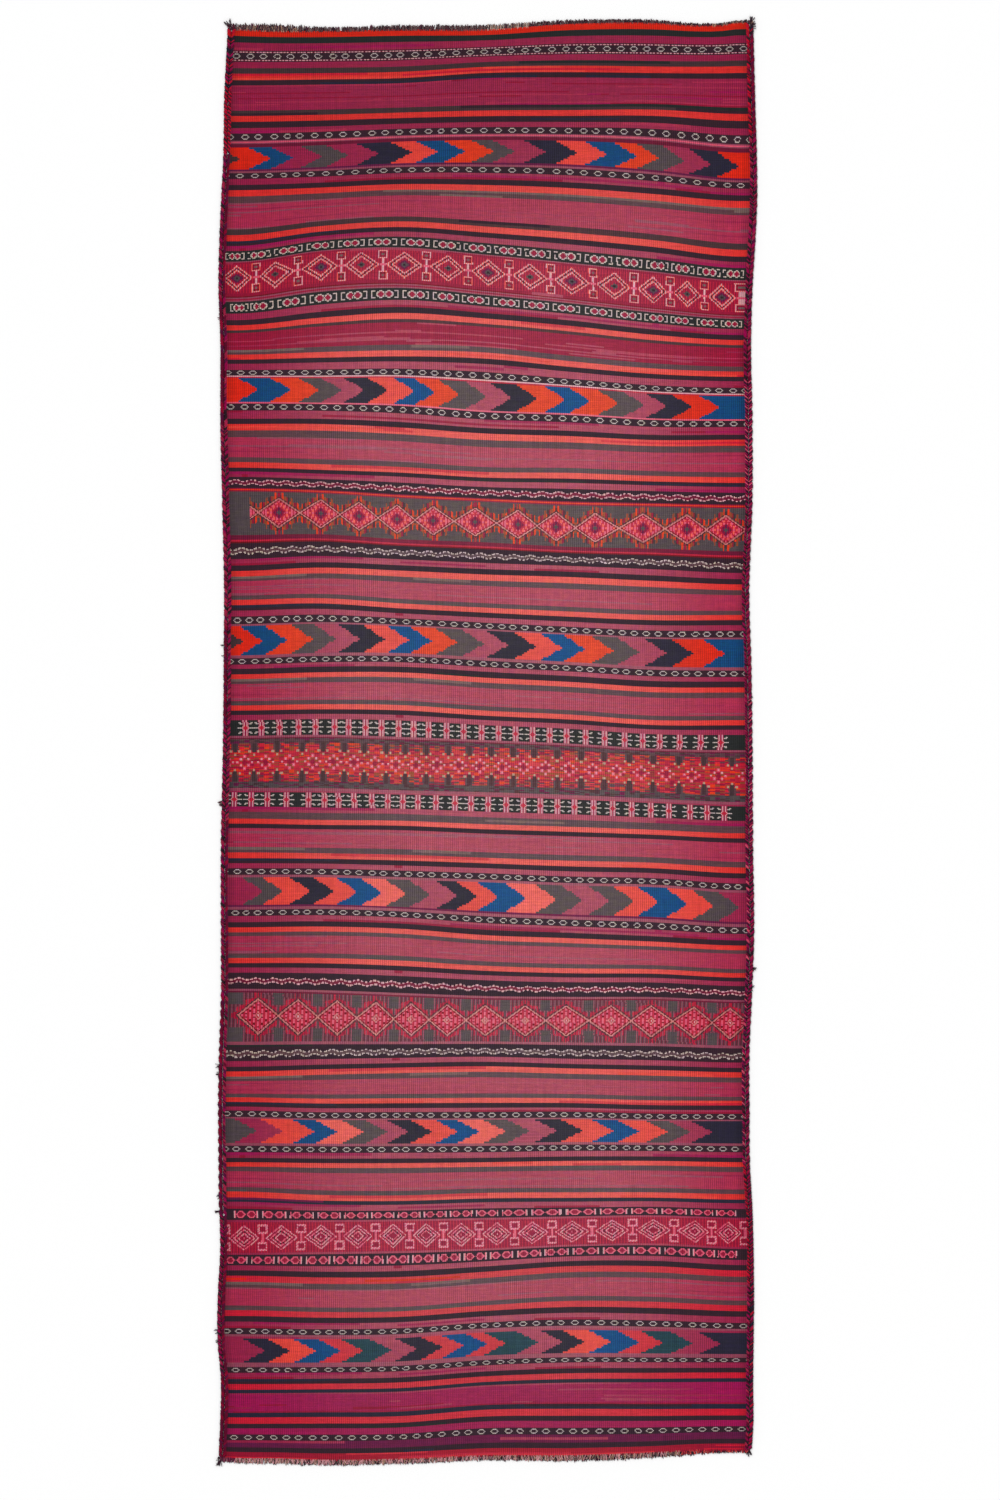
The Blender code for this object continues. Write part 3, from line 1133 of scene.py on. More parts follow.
@dataclass
class Loom:
    """Weaves the bands pick by pick."""

    outline: Outline

    def warp_places(self, along_mm: float) -> Array:
        """Places of all the warps across one pick, in steps from the datum."""
        y = np.array([RUNNER_LENGTH / 2 - HEAD_DOWN - along_mm / 1000])
        left = self.outline.side_x(-1, y)[0] + self.outline.inset
        right = self.outline.side_x(1, y)[0] - self.outline.inset
        x = left + (np.arange(WARPS) + 0.5) / WARPS * (right - left)
        return (x - DATUM) / STEP

    def weave(self) -> list[Pick]:
        """Weaves every band and the wide stripes between them.

        Returns:
            The picks, from the head down.
        """
        picks: list[Pick] = []
        stops = [panel.down for panel in PANELS[1:]] + [CLOTH_LENGTH_MM]
        for panel, stop in zip(PANELS, stops):
            top = panel.down
            used = sum(band.height for band in panel.bands)
            rest = Band(Stripe(yarn=panel.wide, mixed=0.28, run=110, pick=1.35), stop - top - used)
            for band in (*panel.bands, rest):
                steps = band.height / STEP_MM
                count = band.motif.rows(steps)
                height = band.height / count
                for row in range(count):
                    places = self.warp_places(top + (row + 0.5) * height)
                    yarns = band.motif.paint((row + 0.5) * steps / count, places, steps)
                    raised = not isinstance(band.motif, Stripe)
                    edges = (top + row * height, top + (row + 1) * height)
                    picks.append(Pick(*edges, np.asarray(yarns, dtype=int), raised))
                top += band.height
        return picks


class Graph:
    """A node tree being wired, with short calls for the nodes that the yarns use."""

    def __init__(self, tree: bpy.types.NodeTree) -> None:
        """Takes the tree to wire."""
        self.tree = tree

    def node(self, kind: str, **settings: object) -> bpy.types.Node:
        """Adds a node with the given settings."""
        node = self.tree.nodes.new(kind)
        for name, value in settings.items():
            setattr(node, name, value)
        return node

    def feed(self, socket: bpy.types.NodeSocket, value: object) -> None:
        """Links a socket to an output, or sets its value."""
        if isinstance(value, bpy.types.NodeSocket):
            self.tree.links.new(value, socket)
        else:
            socket.default_value = value

    def math(self, operation: str, *values: Value, clamp: bool = False) -> bpy.types.NodeSocket:
        """Adds a sum of one to three values."""
        node = self.node("ShaderNodeMath", operation=operation, use_clamp=clamp)
        for socket, value in zip(node.inputs, values):
            self.feed(socket, value)
        return node.outputs[0]

    def stretched(self, vector: bpy.types.NodeSocket, by: tuple[float, float, float]) -> bpy.types.NodeSocket:
        """Multiplies a vector part by part."""
        node = self.node("ShaderNodeVectorMath", operation="MULTIPLY")
        self.feed(node.inputs[0], vector)
        node.inputs[1].default_value = by
        return node.outputs[0]

    def noise(self, vector: bpy.types.NodeSocket, scale: float, detail: float = 2.0) -> bpy.types.NodeSocket:
        """Adds a noise field and gives its value from 0 to 1."""
        node = self.node("ShaderNodeTexNoise")
        self.feed(node.inputs["Vector"], vector)
        node.inputs["Scale"].default_value = scale
        node.inputs["Detail"].default_value = detail
        return node.outputs[0]

    def ranged(
        self, value: Value, source: tuple[float, float], target: tuple[float, float], smooth: bool = False
    ) -> bpy.types.NodeSocket:
        """Maps a value from one range to another, clamped."""
        kind = "SMOOTHSTEP" if smooth else "LINEAR"
        node = self.node("ShaderNodeMapRange", interpolation_type=kind)
        self.feed(node.inputs["Value"], value)
        for name, number in zip(("From Min", "From Max", "To Min", "To Max"), (*source, *target)):
            node.inputs[name].default_value = number
        return node.outputs[0]

    def mixed(self, factor: Value, first: object, second: object, blend: str = "MIX") -> bpy.types.NodeSocket:
        """Mixes two colours."""
        node = self.node("ShaderNodeMix", data_type="RGBA", blend_type=blend)
        self.feed(node.inputs[0], factor)
        self.feed(node.inputs[6], first)
        self.feed(node.inputs[7], second)
        return node.outputs[2]

    def scaled_colour(self, colour: bpy.types.NodeSocket, factor: Value) -> bpy.types.NodeSocket:
        """Makes a colour lighter or darker."""
        node = self.node("ShaderNodeVectorMath", operation="SCALE")
        self.feed(node.inputs[0], colour)
        self.feed(node.inputs["Scale"], factor)
        return node.outputs[0]


def linear(colour: tuple[int, int, int]) -> tuple[float, float, float, float]:
    """An 8-bit sRGB colour as the linear colour that a shader takes."""
    parts = (value / 255 for value in colour)
    levels = [part / 12.92 if part <= 0.04045 else ((part + 0.055) / 1.055) ** 2.4 for part in parts]
    return (levels[0], levels[1], levels[2], 1.0)


@dataclass(frozen=True)
class WoolFinish:
    """What all the wool of the runner shares: its yarn card, its matt surface and its soft bloom."""

    roughness: float = 0.88
    bloom: float = 0.05
    specular: float = 0.16

    def shader(self, name: str) -> tuple[bpy.types.Material, Graph, bpy.types.Node]:
        """Starts a material and gives it with its graph and its surface node."""
        material = bpy.data.materials.new(name)
        material.use_nodes = True
        surface = material.node_tree.nodes["Principled BSDF"]
        surface.inputs["Roughness"].default_value = self.roughness
        surface.inputs["Sheen Weight"].default_value = self.bloom
        surface.inputs["Sheen Roughness"].default_value = 0.5
        surface.inputs["Specular IOR Level"].default_value = self.specular
        return material, Graph(material.node_tree), surface

    def card(self, graph: Graph, yarn: bpy.types.NodeSocket, worn: bool) -> bpy.types.NodeSocket:
        """The colour of a yarn number, read off the fresh or the worn side of the yarn card."""
        ramp = graph.node("ShaderNodeValToRGB")
        ramp.color_ramp.interpolation = "CONSTANT"
        elements = ramp.color_ramp.elements
        while len(elements) > 1:
            elements.remove(elements[-1])
        for yarn_name in Yarn:
            dye = YARN_CARD[yarn_name]
            at = yarn_name / YARN_BASE
            element = elements[0] if yarn_name == 0 else elements.new(at)
            element.position = at
            element.color = linear(dye.worn if worn else dye.fresh)
        graph.feed(ramp.inputs[0], graph.math("DIVIDE", graph.math("ADD", yarn, 0.5), float(YARN_BASE)))
        return ramp.outputs[0]


@dataclass(frozen=True)
class WeaveFinish(WoolFinish):
    """The woven face: yarns read warp by warp, faded along the middle, ribbed by its warps with painted shade in the
    grooves between them, and with painted shade down the left and beside the overcast edges.
    """

    rib_groove_painted_shade: float = 0.46
    rib_height: float = 0.0005
    streak_shade: float = 0.13
    grain_shade: float = 0.12
    rib_streak: float = 0.11
    dye_shift: float = 0.07

    def yarn_number(self, graph: Graph, warp: bpy.types.NodeSocket) -> bpy.types.NodeSocket:
        """Unpacks the yarn of the warp under a point from the twelve that its face carries."""
        packed = graph.node("ShaderNodeAttribute", attribute_name="yarns")
        parts = graph.node("ShaderNodeSeparateXYZ")
        graph.feed(parts.inputs[0], packed.outputs["Vector"])
        cell = graph.math("FLOOR", graph.math("MODULO", warp, float(WARPS_A_FACE)))
        third = graph.math("FLOOR", graph.math("DIVIDE", cell, 4.0))
        digit = graph.math("SUBTRACT", cell, graph.math("MULTIPLY", third, 4.0))
        code: Value = 0.0
        for number in range(3):
            here = graph.math("COMPARE", third, float(number), 0.5)
            code = graph.math("MULTIPLY_ADD", parts.outputs[number], here, code)
        divisor: Value = 1.0
        for step in (1, 2, 3):
            gain = float(YARN_BASE**step - YARN_BASE ** (step - 1))
            past = graph.math("GREATER_THAN", digit, step - 0.5)
            divisor = graph.math("MULTIPLY_ADD", past, gain, divisor)
        quotient = graph.math("FLOOR", graph.math("DIVIDE", graph.math("ADD", code, 0.5), divisor))
        return graph.math("FLOOR", graph.math("MODULO", graph.math("ADD", quotient, 0.01), float(YARN_BASE)))

    def wear(self, graph: Graph, place: bpy.types.NodeSocket) -> bpy.types.NodeSocket:
        """How worn the cloth is: most along the middle, least at the sides and at the head."""
        parts = graph.node("ShaderNodeSeparateXYZ")
        graph.feed(parts.inputs[0], place)
        off_middle = graph.math("ABSOLUTE", graph.math("SUBTRACT", parts.outputs[0], 0.01))
        across = graph.ranged(off_middle, (0.22, 0.61), (1.0, 0.04), smooth=True)
        leftwards = graph.math("MULTIPLY_ADD", parts.outputs[0], -0.3, parts.outputs[1])
        head = graph.ranged(leftwards, (0.9, 1.5), (1.0, 0.1), smooth=True)
        foot = graph.ranged(parts.outputs[1], (-1.6, -1.25), (0.45, 1.0), smooth=True)
        patch = graph.ranged(graph.noise(place, 2.6), (0.3, 0.7), (0.8, 1.1))
        along = graph.math("MULTIPLY", head, foot)
        return graph.math("MULTIPLY", graph.math("MULTIPLY", across, along), patch, clamp=True)

    def tone_and_painted_shade(self, graph: Graph, place: bpy.types.NodeSocket, warp: bpy.types.NodeSocket) -> Value:
        """How dark the wool is painted: painted shade down the left, darker towards the foot and towards the head,
        and painted shade beside the overcast edges.
        """
        parts = graph.node("ShaderNodeSeparateXYZ")
        graph.feed(parts.inputs[0], place)
        # painted shade: the left side is kept darker, standing in for weaker light there
        across = graph.ranged(parts.outputs[0], (-0.5, 0.5), (0.92, 0.99))
        along = graph.ranged(parts.outputs[1], (-1.2, 0.6), (0.93, 1.0))
        head = graph.ranged(parts.outputs[1], (1.0, 1.6), (1.0, 0.87))
        # painted shade on the last warps beside each overcast edge, where the cord meets the cloth
        half = WARPS / 2
        off_centre = graph.math("ABSOLUTE", graph.math("SUBTRACT", warp, half))
        margin = graph.ranged(off_centre, (half - 9, half - 2), (1.0, 0.74))
        return graph.math("MULTIPLY", graph.math("MULTIPLY", across, along), graph.math("MULTIPLY", head, margin))

    def varied(self, graph: Graph, place: bpy.types.NodeSocket, by: tuple, detail: float, share: float) -> Value:
        """A shade that varies by a share either way over a noise stretched by the given factors."""
        noise = graph.noise(graph.stretched(place, by), 1.0, detail)
        return graph.ranged(noise, (0.28, 0.72), (1 - share, 1 + share))

    def material(self) -> bpy.types.Material:
        """Makes the woven wool."""
        material, graph, surface = self.shader("woven_wool")
        loom = graph.node("ShaderNodeUVMap", uv_map="Loom")
        place = graph.node("ShaderNodeTexCoord").outputs["Object"]
        parts = graph.node("ShaderNodeSeparateXYZ")
        graph.feed(parts.inputs[0], loom.outputs[0])
        yarn = self.yarn_number(graph, parts.outputs[0])
        fresh = self.card(graph, yarn, worn=False)
        worn = self.card(graph, yarn, worn=True)
        colour = graph.mixed(self.wear(graph, place), fresh, worn)
        # painted shade: the grooves between the warp ribs are darkened, by a strength that varies over the cloth
        rib = graph.math("ABSOLUTE", graph.math("SINE", graph.math("MULTIPLY", parts.outputs[0], math.pi / 2)))
        depth = self.varied(graph, place, (16.0, 9.0, 1.0), 2.0, 0.8)
        painted_groove_shade = graph.math("MULTIPLY", graph.math("SUBTRACT", rib, 0.66), self.rib_groove_painted_shade)
        shade = graph.math("MULTIPLY_ADD", painted_groove_shade, depth, 1.0)
        shade = graph.math("MULTIPLY", shade, self.tone_and_painted_shade(graph, place, parts.outputs[0]))
        for by, detail, share in (
            ((6.0, 420.0, 1.0), 3.0, self.streak_shade),
            ((40.0, 430.0, 1.0), 2.0, self.streak_shade),
            ((430.0, 430.0, 1.0), 1.0, self.grain_shade),
            ((210.0, 14.0, 1.0), 2.0, self.rib_streak),
        ):
            shade = graph.math("MULTIPLY", shade, self.varied(graph, place, by, detail, share))
        warm = self.varied(graph, place, (60.0, 90.0, 1.0), 1.0, self.dye_shift)
        cool = graph.math("SUBTRACT", 2.0, warm)
        tint = graph.node("ShaderNodeCombineXYZ")
        for socket, part in zip(tint.inputs, (graph.math("MULTIPLY_ADD", warm, 0.5, 0.5), warm, cool)):
            graph.feed(socket, part)
        toned = graph.mixed(1.0, colour, tint.outputs[0], blend="MULTIPLY")
        graph.feed(surface.inputs["Base Color"], graph.scaled_colour(toned, shade))
        pick = graph.math("SINE", graph.math("MULTIPLY", parts.outputs[1], 2 * math.pi / 1.6))
        fuzz = graph.noise(place, 900.0, 1.0)
        height = graph.math("MULTIPLY_ADD", pick, 0.22, graph.math("MULTIPLY_ADD", fuzz, 0.5, rib))
        bump = graph.node("ShaderNodeBump")
        bump.inputs["Strength"].default_value = 0.7
        bump.inputs["Distance"].default_value = self.rib_height
        graph.feed(bump.inputs["Height"], height)
        graph.feed(surface.inputs["Normal"], bump.outputs[0])
        return material


@dataclass(frozen=True)
class StrandFinish(WoolFinish):
    """Loose or wrapped yarn: one yarn a strand, with its plies showing as fine slanting lines, and painted shade on
    its lowest parts.
    """

    name: str = "wrapped_yarn"
    shade: float = 0.9
    ply: float = 700.0
    # how dark the painted shade is on the lowest parts of a strand
    lowest_painted_shade: float = 1.0

    def material(self) -> bpy.types.Material:
        """Makes the yarn of the strands."""
        material, graph, surface = self.shader(self.name)
        number = graph.node("ShaderNodeAttribute", attribute_name="yarn")
        place = graph.node("ShaderNodeTexCoord").outputs["Object"]
        colour = self.card(graph, number.outputs["Fac"], worn=False)
        fuzz = graph.noise(place, self.ply, 2.0)
        patch = graph.noise(place, 60.0, 2.0)
        shade = graph.math(
            "MULTIPLY",
            graph.ranged(fuzz, (0.25, 0.75), (self.shade - 0.25, self.shade + 0.2)),
            graph.ranged(patch, (0.3, 0.7), (0.8, 1.15)),
        )
        # painted shade: the lower the surface, the darker, as in the crevices between wraps and along the cords' rims
        parts = graph.node("ShaderNodeSeparateXYZ")
        graph.feed(parts.inputs[0], place)
        painted_crevice_shade = graph.ranged(parts.outputs[2], (0.0022, 0.0037), (self.lowest_painted_shade, 1.0))
        shade = graph.math("MULTIPLY", shade, painted_crevice_shade)
        graph.feed(surface.inputs["Base Color"], graph.scaled_colour(colour, shade))
        bump = graph.node("ShaderNodeBump")
        bump.inputs["Strength"].default_value = 0.6
        bump.inputs["Distance"].default_value = 0.0004
        graph.feed(bump.inputs["Height"], fuzz)
        graph.feed(surface.inputs["Normal"], bump.outputs[0])
        return material


@dataclass
class WovenCloth:
    """The flat-woven panel, closed on both faces and along its edges, with its pattern on both."""

    outline: Outline
    picks: list[Pick]
    shift: Array
    thin: float = 0.0025
    thick: float = 0.0031
    lift: float = 0.0009
    finish: WeaveFinish = field(default_factory=WeaveFinish)

    def surface_grid(self) -> tuple[Array, Array, Array]:
        """Places of the grid's corners: x, y and the cloth's thickness there."""
        along = np.array([pick.top for pick in self.picks] + [self.picks[-1].bottom])
        faces = WARPS // WARPS_A_FACE
        share = np.linspace(0, 1, faces + 1)
        x = np.tile(share * 1.2 - 0.6, (len(along), 1))
        for _ in range(4):
            y = RUNNER_LENGTH / 2 - self.outline.weft_down(along, x)
            left = self.outline.side_x(-1, y) + self.outline.inset
            right = self.outline.side_x(1, y) - self.outline.inset
            x = left + share * (right - left)
        y = RUNNER_LENGTH / 2 - self.outline.weft_down(along, x)
        raised = np.array([pick.raised for pick in self.picks], dtype=float)
        level = np.convolve(np.pad(raised, 2, mode="edge"), np.ones(4) / 4, mode="valid")
        thick = self.thin + (self.thick - self.thin) * level
        return x, y, np.tile(thick[:, None], (1, faces + 1))

    def raised_off_floor(self, x: Array, y: Array) -> Array:
        """How far the cloth lies off the floor in its slight waves."""
        wave = np.sin(5.1 * x + 1.7 * y + 0.4) * np.sin(2.3 * y - 3.0 * x)
        ripple = np.sin(11.0 * y + 2.0 * np.sin(4.0 * x)) * 0.4
        return self.lift * np.clip(0.35 + 0.5 * wave + ripple * 0.5, 0, None)

    def packed_yarns(self) -> Array:
        """The yarns of each face's twelve warps as three numbers, four yarns in each."""
        yarns = np.stack([pick.yarns for pick in self.picks])
        cells = yarns.reshape(len(self.picks), WARPS // WARPS_A_FACE, 3, 4)
        return (cells * YARN_BASE ** np.arange(4)).sum(axis=-1)

    def bake_place(self, across: Array, down: Array, foot_half: Array) -> Array:
        """Places in the flat map, where the head half and the foot half lie side by side."""
        share = np.where(foot_half, (down - 0.5) * 2, down * 2)
        u = np.where(foot_half, 0.502, 0.002) + across * 0.494
        return np.stack([u, 0.998 - np.clip(share, 0, 1) * 0.996], axis=-1)

    def build(self) -> bpy.types.Object:
        """Builds the cloth's mesh with its maps and its yarns.

        Returns:
            The cloth's object.
        """
        x, y, thick = self.surface_grid()
        rows, columns = x.shape
        low = self.raised_off_floor(x, y)
        moved = (x + self.shift[0], y + self.shift[1])
        top = np.stack([*moved, low + thick], axis=-1).reshape(-1, 3)
        under = np.stack([*moved, low], axis=-1).reshape(-1, 3)
        number = np.arange(rows * columns).reshape(rows, columns)
        a, b = number[:-1, :-1].ravel(), number[:-1, 1:].ravel()
        c, d = number[1:, 1:].ravel(), number[1:, :-1].ravel()
        face_row, face_column = np.divmod(np.arange(len(a)), columns - 1)
        base = rows * columns
        quads = [np.stack([d, c, b, a], axis=-1), np.stack([a, b, c, d], axis=-1) + base]
        owner = [np.arange(len(a)), np.arange(len(a))]
        for line, faces in (
            (number[0], np.arange(columns - 1)),
            (number[:, -1], np.arange(rows - 1) * (columns - 1) + columns - 2),
            (number[-1][::-1], (rows - 2) * (columns - 1) + np.arange(columns - 1)[::-1]),
            (number[:, 0][::-1], (np.arange(rows - 1) * (columns - 1))[::-1]),
        ):
            quads.append(np.stack([line[:-1], line[1:], line[1:] + base, line[:-1] + base], axis=-1))
            owner.append(faces)
        corners = np.concatenate(quads)
        owners = np.concatenate(owner)
        mesh = bpy.data.meshes.new("woven_cloth")
        mesh.from_pydata(np.concatenate([top, under]).tolist(), [], corners.tolist())
        self.add_maps(mesh, corners, owners, face_row, face_column, (rows, columns), len(a))
        cloth = bpy.data.objects.new("woven_cloth", mesh)
        bpy.context.scene.collection.objects.link(cloth)
        mesh.materials.append(self.finish.material())
        return cloth

    def add_maps(
        self,
        mesh: bpy.types.Mesh,
        corners: Array,
        owners: Array,
        face_row: Array,
        face_column: Array,
        shape: tuple[int, int],
        face_count: int,
    ) -> None:
        """Gives each face its yarns, its place on the loom and its place in the flat map."""
        rows, columns = shape
        corner_row, corner_column = np.divmod(corners % (rows * columns), columns)
        along = np.array([pick.top for pick in self.picks] + [self.picks[-1].bottom])
        wall = np.arange(len(corners)) >= 2 * face_count
        middle = (face_column[owners][:, None] + 0.5, face_row[owners][:, None] + 0.5)
        tuck = np.where(wall, 0.04, 0.0)[:, None]
        under = (corners >= rows * columns) & wall[:, None]
        warp_column = corner_column + (middle[0] - corner_column) * tuck
        warp_row = corner_row + (middle[1] - corner_row) * np.where(under, 0.5, tuck)
        warp_column = warp_column + (middle[0] - warp_column) * np.where(under, 0.05, 0.0)
        whole = np.clip(warp_row.astype(int), 0, rows - 2)
        loom_along = along[whole] + (along[whole + 1] - along[whole]) * (warp_row - whole)
        loom = np.stack([warp_column * WARPS_A_FACE, loom_along], axis=-1)
        foot_half = (face_row[owners] >= np.searchsorted(along, along[-1] / 2))[:, None] & np.ones(4, bool)
        split = along[np.searchsorted(along, along[-1] / 2)] / along[-1]
        down = loom_along / along[-1]
        down = np.where(foot_half, 0.5 + (down - split) / (1 - split) / 2, down / split / 2)
        flat = self.bake_place(warp_column / (columns - 1), down, foot_half)
        for name, places in (("Loom", loom), ("OFBake", flat)):
            layer = mesh.uv_layers.new(name=name)
            layer.data.foreach_set("uv", places.astype(np.float32).ravel())
        yarns = mesh.attributes.new("yarns", "FLOAT_VECTOR", "FACE")
        packed = self.packed_yarns().reshape(-1, 3)[owners]
        yarns.data.foreach_set("vector", packed.astype(np.float32).ravel())
        mesh.uv_layers["OFBake"].active_render = True
        mesh.uv_layers.active = mesh.uv_layers["OFBake"]


class Recipe:
    """A Geometry Nodes tree with named sizes, which turns a set of points into a plain mesh."""

    def __init__(self, name: str, sizes: dict[str, float]) -> None:
        """Starts the tree with its sizes as named inputs."""
        self.sizes = sizes
        self.tree = bpy.data.node_groups.new(name, "GeometryNodeTree")
        self.graph = Graph(self.tree)
        self.tree.interface.new_socket("Geometry", in_out="INPUT", socket_type="NodeSocketGeometry")
        self.keys = {}
        for label, value in sizes.items():
            socket = self.tree.interface.new_socket(label, in_out="INPUT", socket_type="NodeSocketFloat")
            socket.default_value = value
            self.keys[label] = socket.identifier
        self.tree.interface.new_socket("Geometry", in_out="OUTPUT", socket_type="NodeSocketGeometry")
        self.inputs = self.graph.node("NodeGroupInput").outputs
        self.outputs = self.graph.node("NodeGroupOutput").inputs

    def named(self, label: str) -> bpy.types.NodeSocket:
        """Reads a number that each point carries."""
        node = self.graph.node("GeometryNodeInputNamedAttribute", data_type="FLOAT")
        node.inputs["Name"].default_value = label
        return node.outputs["Attribute"]

    def chance(self, low: Value, high: Value, seed: int) -> bpy.types.NodeSocket:
        """A random number for each point, the same in every run."""
        node = self.graph.node("FunctionNodeRandomValue", data_type="FLOAT")
        self.graph.feed(node.inputs[2], low)
        self.graph.feed(node.inputs[3], high)
        node.inputs["Seed"].default_value = seed
        return node.outputs[1]

    def vector(self, *parts: Value) -> bpy.types.NodeSocket:
        """A vector from its three parts."""
        node = self.graph.node("ShaderNodeCombineXYZ")
        for socket, part in zip(node.inputs, parts):
            self.graph.feed(socket, part)
        return node.outputs[0]

    def parts(self, vector: bpy.types.NodeSocket) -> bpy.types.NodeOutputs:
        """The three parts of a vector."""
        node = self.graph.node("ShaderNodeSeparateXYZ")
        self.graph.feed(node.inputs[0], vector)
        return node.outputs

    def through(self, kind: str, geometry: bpy.types.NodeSocket, **inputs: object) -> bpy.types.NodeSocket:
        """Passes geometry through a node whose other inputs are named with underscores for spaces."""
        node = self.graph.node(kind)
        self.graph.feed(node.inputs[0], geometry)
        for label, value in inputs.items():
            self.graph.feed(node.inputs[label.replace("_", " ")], value)
        return node.outputs[0]

    def placed(self, strand: bpy.types.NodeSocket, yaw: Value, scale: bpy.types.NodeSocket) -> bpy.types.NodeSocket:
        """Puts one strand on every point, turned about the upright axis, and makes the copies real."""
        turn = self.graph.node("FunctionNodeEulerToRotation")
        self.graph.feed(turn.inputs[0], self.vector(0.0, 0.0, yaw))
        points = self.through("GeometryNodeMeshToPoints", self.inputs["Geometry"])
        copies = self.through(
            "GeometryNodeInstanceOnPoints", points, Instance=strand, Rotation=turn.outputs[0], Scale=scale
        )
        return self.through("GeometryNodeRealizeInstances", copies)

    def finish(self, geometry: bpy.types.NodeSocket, material: bpy.types.Material) -> None:
        """Smooths and dresses the result, and ends the tree."""
        smooth = self.through("GeometryNodeSetShadeSmooth", geometry)
        self.graph.feed(self.outputs[0], self.through("GeometryNodeSetMaterial", smooth, Material=material))

    def grow(self, name: str, places: Array, facts: dict[str, Array]) -> bpy.types.Object:
        """Runs the tree on a set of points.

        Args:
            name: Name of the piece.
            places: The points, one row each.
            facts: Numbers that each point carries, by name.

        Returns:
            An object with a plain mesh and no modifier.
        """
        mesh = bpy.data.meshes.new(name + "_points")
        mesh.from_pydata(places.tolist(), [], [])
        for label, values in facts.items():
            mesh.attributes.new(label, "FLOAT", "POINT").data.foreach_set("value", values.astype(np.float32))
        seeds = bpy.data.objects.new(name + "_points", mesh)
        bpy.context.scene.collection.objects.link(seeds)
        modifier = seeds.modifiers.new(self.tree.name, "NODES")
        modifier.node_group = self.tree
        for label, value in self.sizes.items():
            modifier[self.keys[label]] = value
        grown = bpy.data.meshes.new_from_object(seeds.evaluated_get(bpy.context.evaluated_depsgraph_get()))
        seeds.modifiers.clear()
        bpy.data.objects.remove(seeds)
        piece = bpy.data.objects.new(name, grown)
        bpy.context.scene.collection.objects.link(piece)
        return piece


def card_places(mesh: bpy.types.Mesh, faces_a_strand: int, around: int) -> None:
    """Gives every strand its own small field of the flat map, with its faces in rows across it."""
    count = len(mesh.polygons)
    strands = math.ceil(count / faces_a_strand)
    fields = math.ceil(math.sqrt(strands))
    strand, face = np.divmod(np.arange(count), faces_a_strand)
    ring, side = np.divmod(face, around)
    rings = math.ceil(faces_a_strand / around)
    row, place = np.divmod(strand, fields)
    low = np.stack([(place + 0.1 + 0.8 * ring / rings) / fields, (row + 0.1 + 0.8 * side / around) / fields], -1)
    size = np.array((0.8 / rings / fields, 0.8 / around / fields))
    corner = np.zeros(len(mesh.loops), dtype=int)
    starts = np.zeros(count, dtype=int)
    totals = np.zeros(count, dtype=int)
    mesh.polygons.foreach_get("loop_start", starts)
    mesh.polygons.foreach_get("loop_total", totals)
    owner = np.repeat(np.arange(count), totals)
    corner = np.arange(len(owner)) - starts[owner]
    square = np.array(((0, 0), (1, 0), (1, 1), (0, 1)))[corner % 4]
    layer = mesh.uv_layers.new(name="OFBake")
    layer.data.foreach_set("uv", (low[owner] + square * size).astype(np.float32).ravel())


class Side(Enum):
    """The two long edges."""

    LEFT = -1
    RIGHT = 1


@dataclass(frozen=True)
class EdgeStretch:
    """The wraps of an edge's two cords, down to one distance from the head in metres."""

    until: float
    outer: tuple[Yarn, ...]
    inner: tuple[Yarn, ...]
    run: int = 3
    beaded: float = 0.12
    braided: bool = True


DARK = (Yarn.BLACK, Yarn.MAGENTA, Yarn.WINE, Yarn.NAVY, Yarn.CRIMSON)
DASHED = (Yarn.RED, Yarn.CLARET, Yarn.BLACK)
CALM = (Yarn.WINE, Yarn.CLARET, Yarn.PURPLE, Yarn.WINE)
RICH = (Yarn.ROSE, Yarn.PURPLE, Yarn.MAGENTA, Yarn.BLACK, Yarn.ROSE, Yarn.WINE)
FLECKED = (Yarn.MAGENTA, Yarn.BLACK, Yarn.ROSE, Yarn.WINE, Yarn.MAGENTA, Yarn.BLACK)
CHAIN = (Yarn.PINK, Yarn.PURPLE, Yarn.BLACK, Yarn.MAGENTA, Yarn.WINE)
REDS = (Yarn.RED, Yarn.ORANGE_RED, Yarn.CRIMSON)

EDGE_STRETCHES = {
    Side.LEFT: (
        EdgeStretch(0.040, REDS, REDS),
        EdgeStretch(0.165, DARK, DARK, run=2, beaded=0.05),
        EdgeStretch(0.310, DASHED, DASHED, run=1, braided=False),
        EdgeStretch(0.640, RICH, CALM),
        EdgeStretch(0.930, CALM, RICH, run=8, beaded=0.04),
        EdgeStretch(1.400, RICH, FLECKED),
        EdgeStretch(1.640, CALM, RICH),
        EdgeStretch(1.850, FLECKED, RICH, run=2),
        EdgeStretch(2.250, RICH, CALM, beaded=0.2),
        EdgeStretch(2.760, CALM, RICH, beaded=0.3, braided=False),
        EdgeStretch(3.120, FLECKED, CALM, run=2),
        EdgeStretch(3.400, CALM, CALM),
    ),
    Side.RIGHT: (
        EdgeStretch(0.036, DARK, REDS),
        EdgeStretch(0.270, CALM, DASHED, run=2),
        EdgeStretch(0.830, RICH, FLECKED),
        EdgeStretch(1.120, CHAIN, CHAIN, run=1, beaded=0.25),
        EdgeStretch(1.570, RICH, FLECKED, run=2, beaded=0.2),
        EdgeStretch(1.900, CHAIN, FLECKED, run=1, beaded=0.25),
        EdgeStretch(2.640, FLECKED, CHAIN, run=2, beaded=0.2),
        EdgeStretch(2.920, DARK, DASHED, run=1, beaded=0.05),
        EdgeStretch(3.400, DARK, FLECKED, run=2, beaded=0.06),
    ),
}


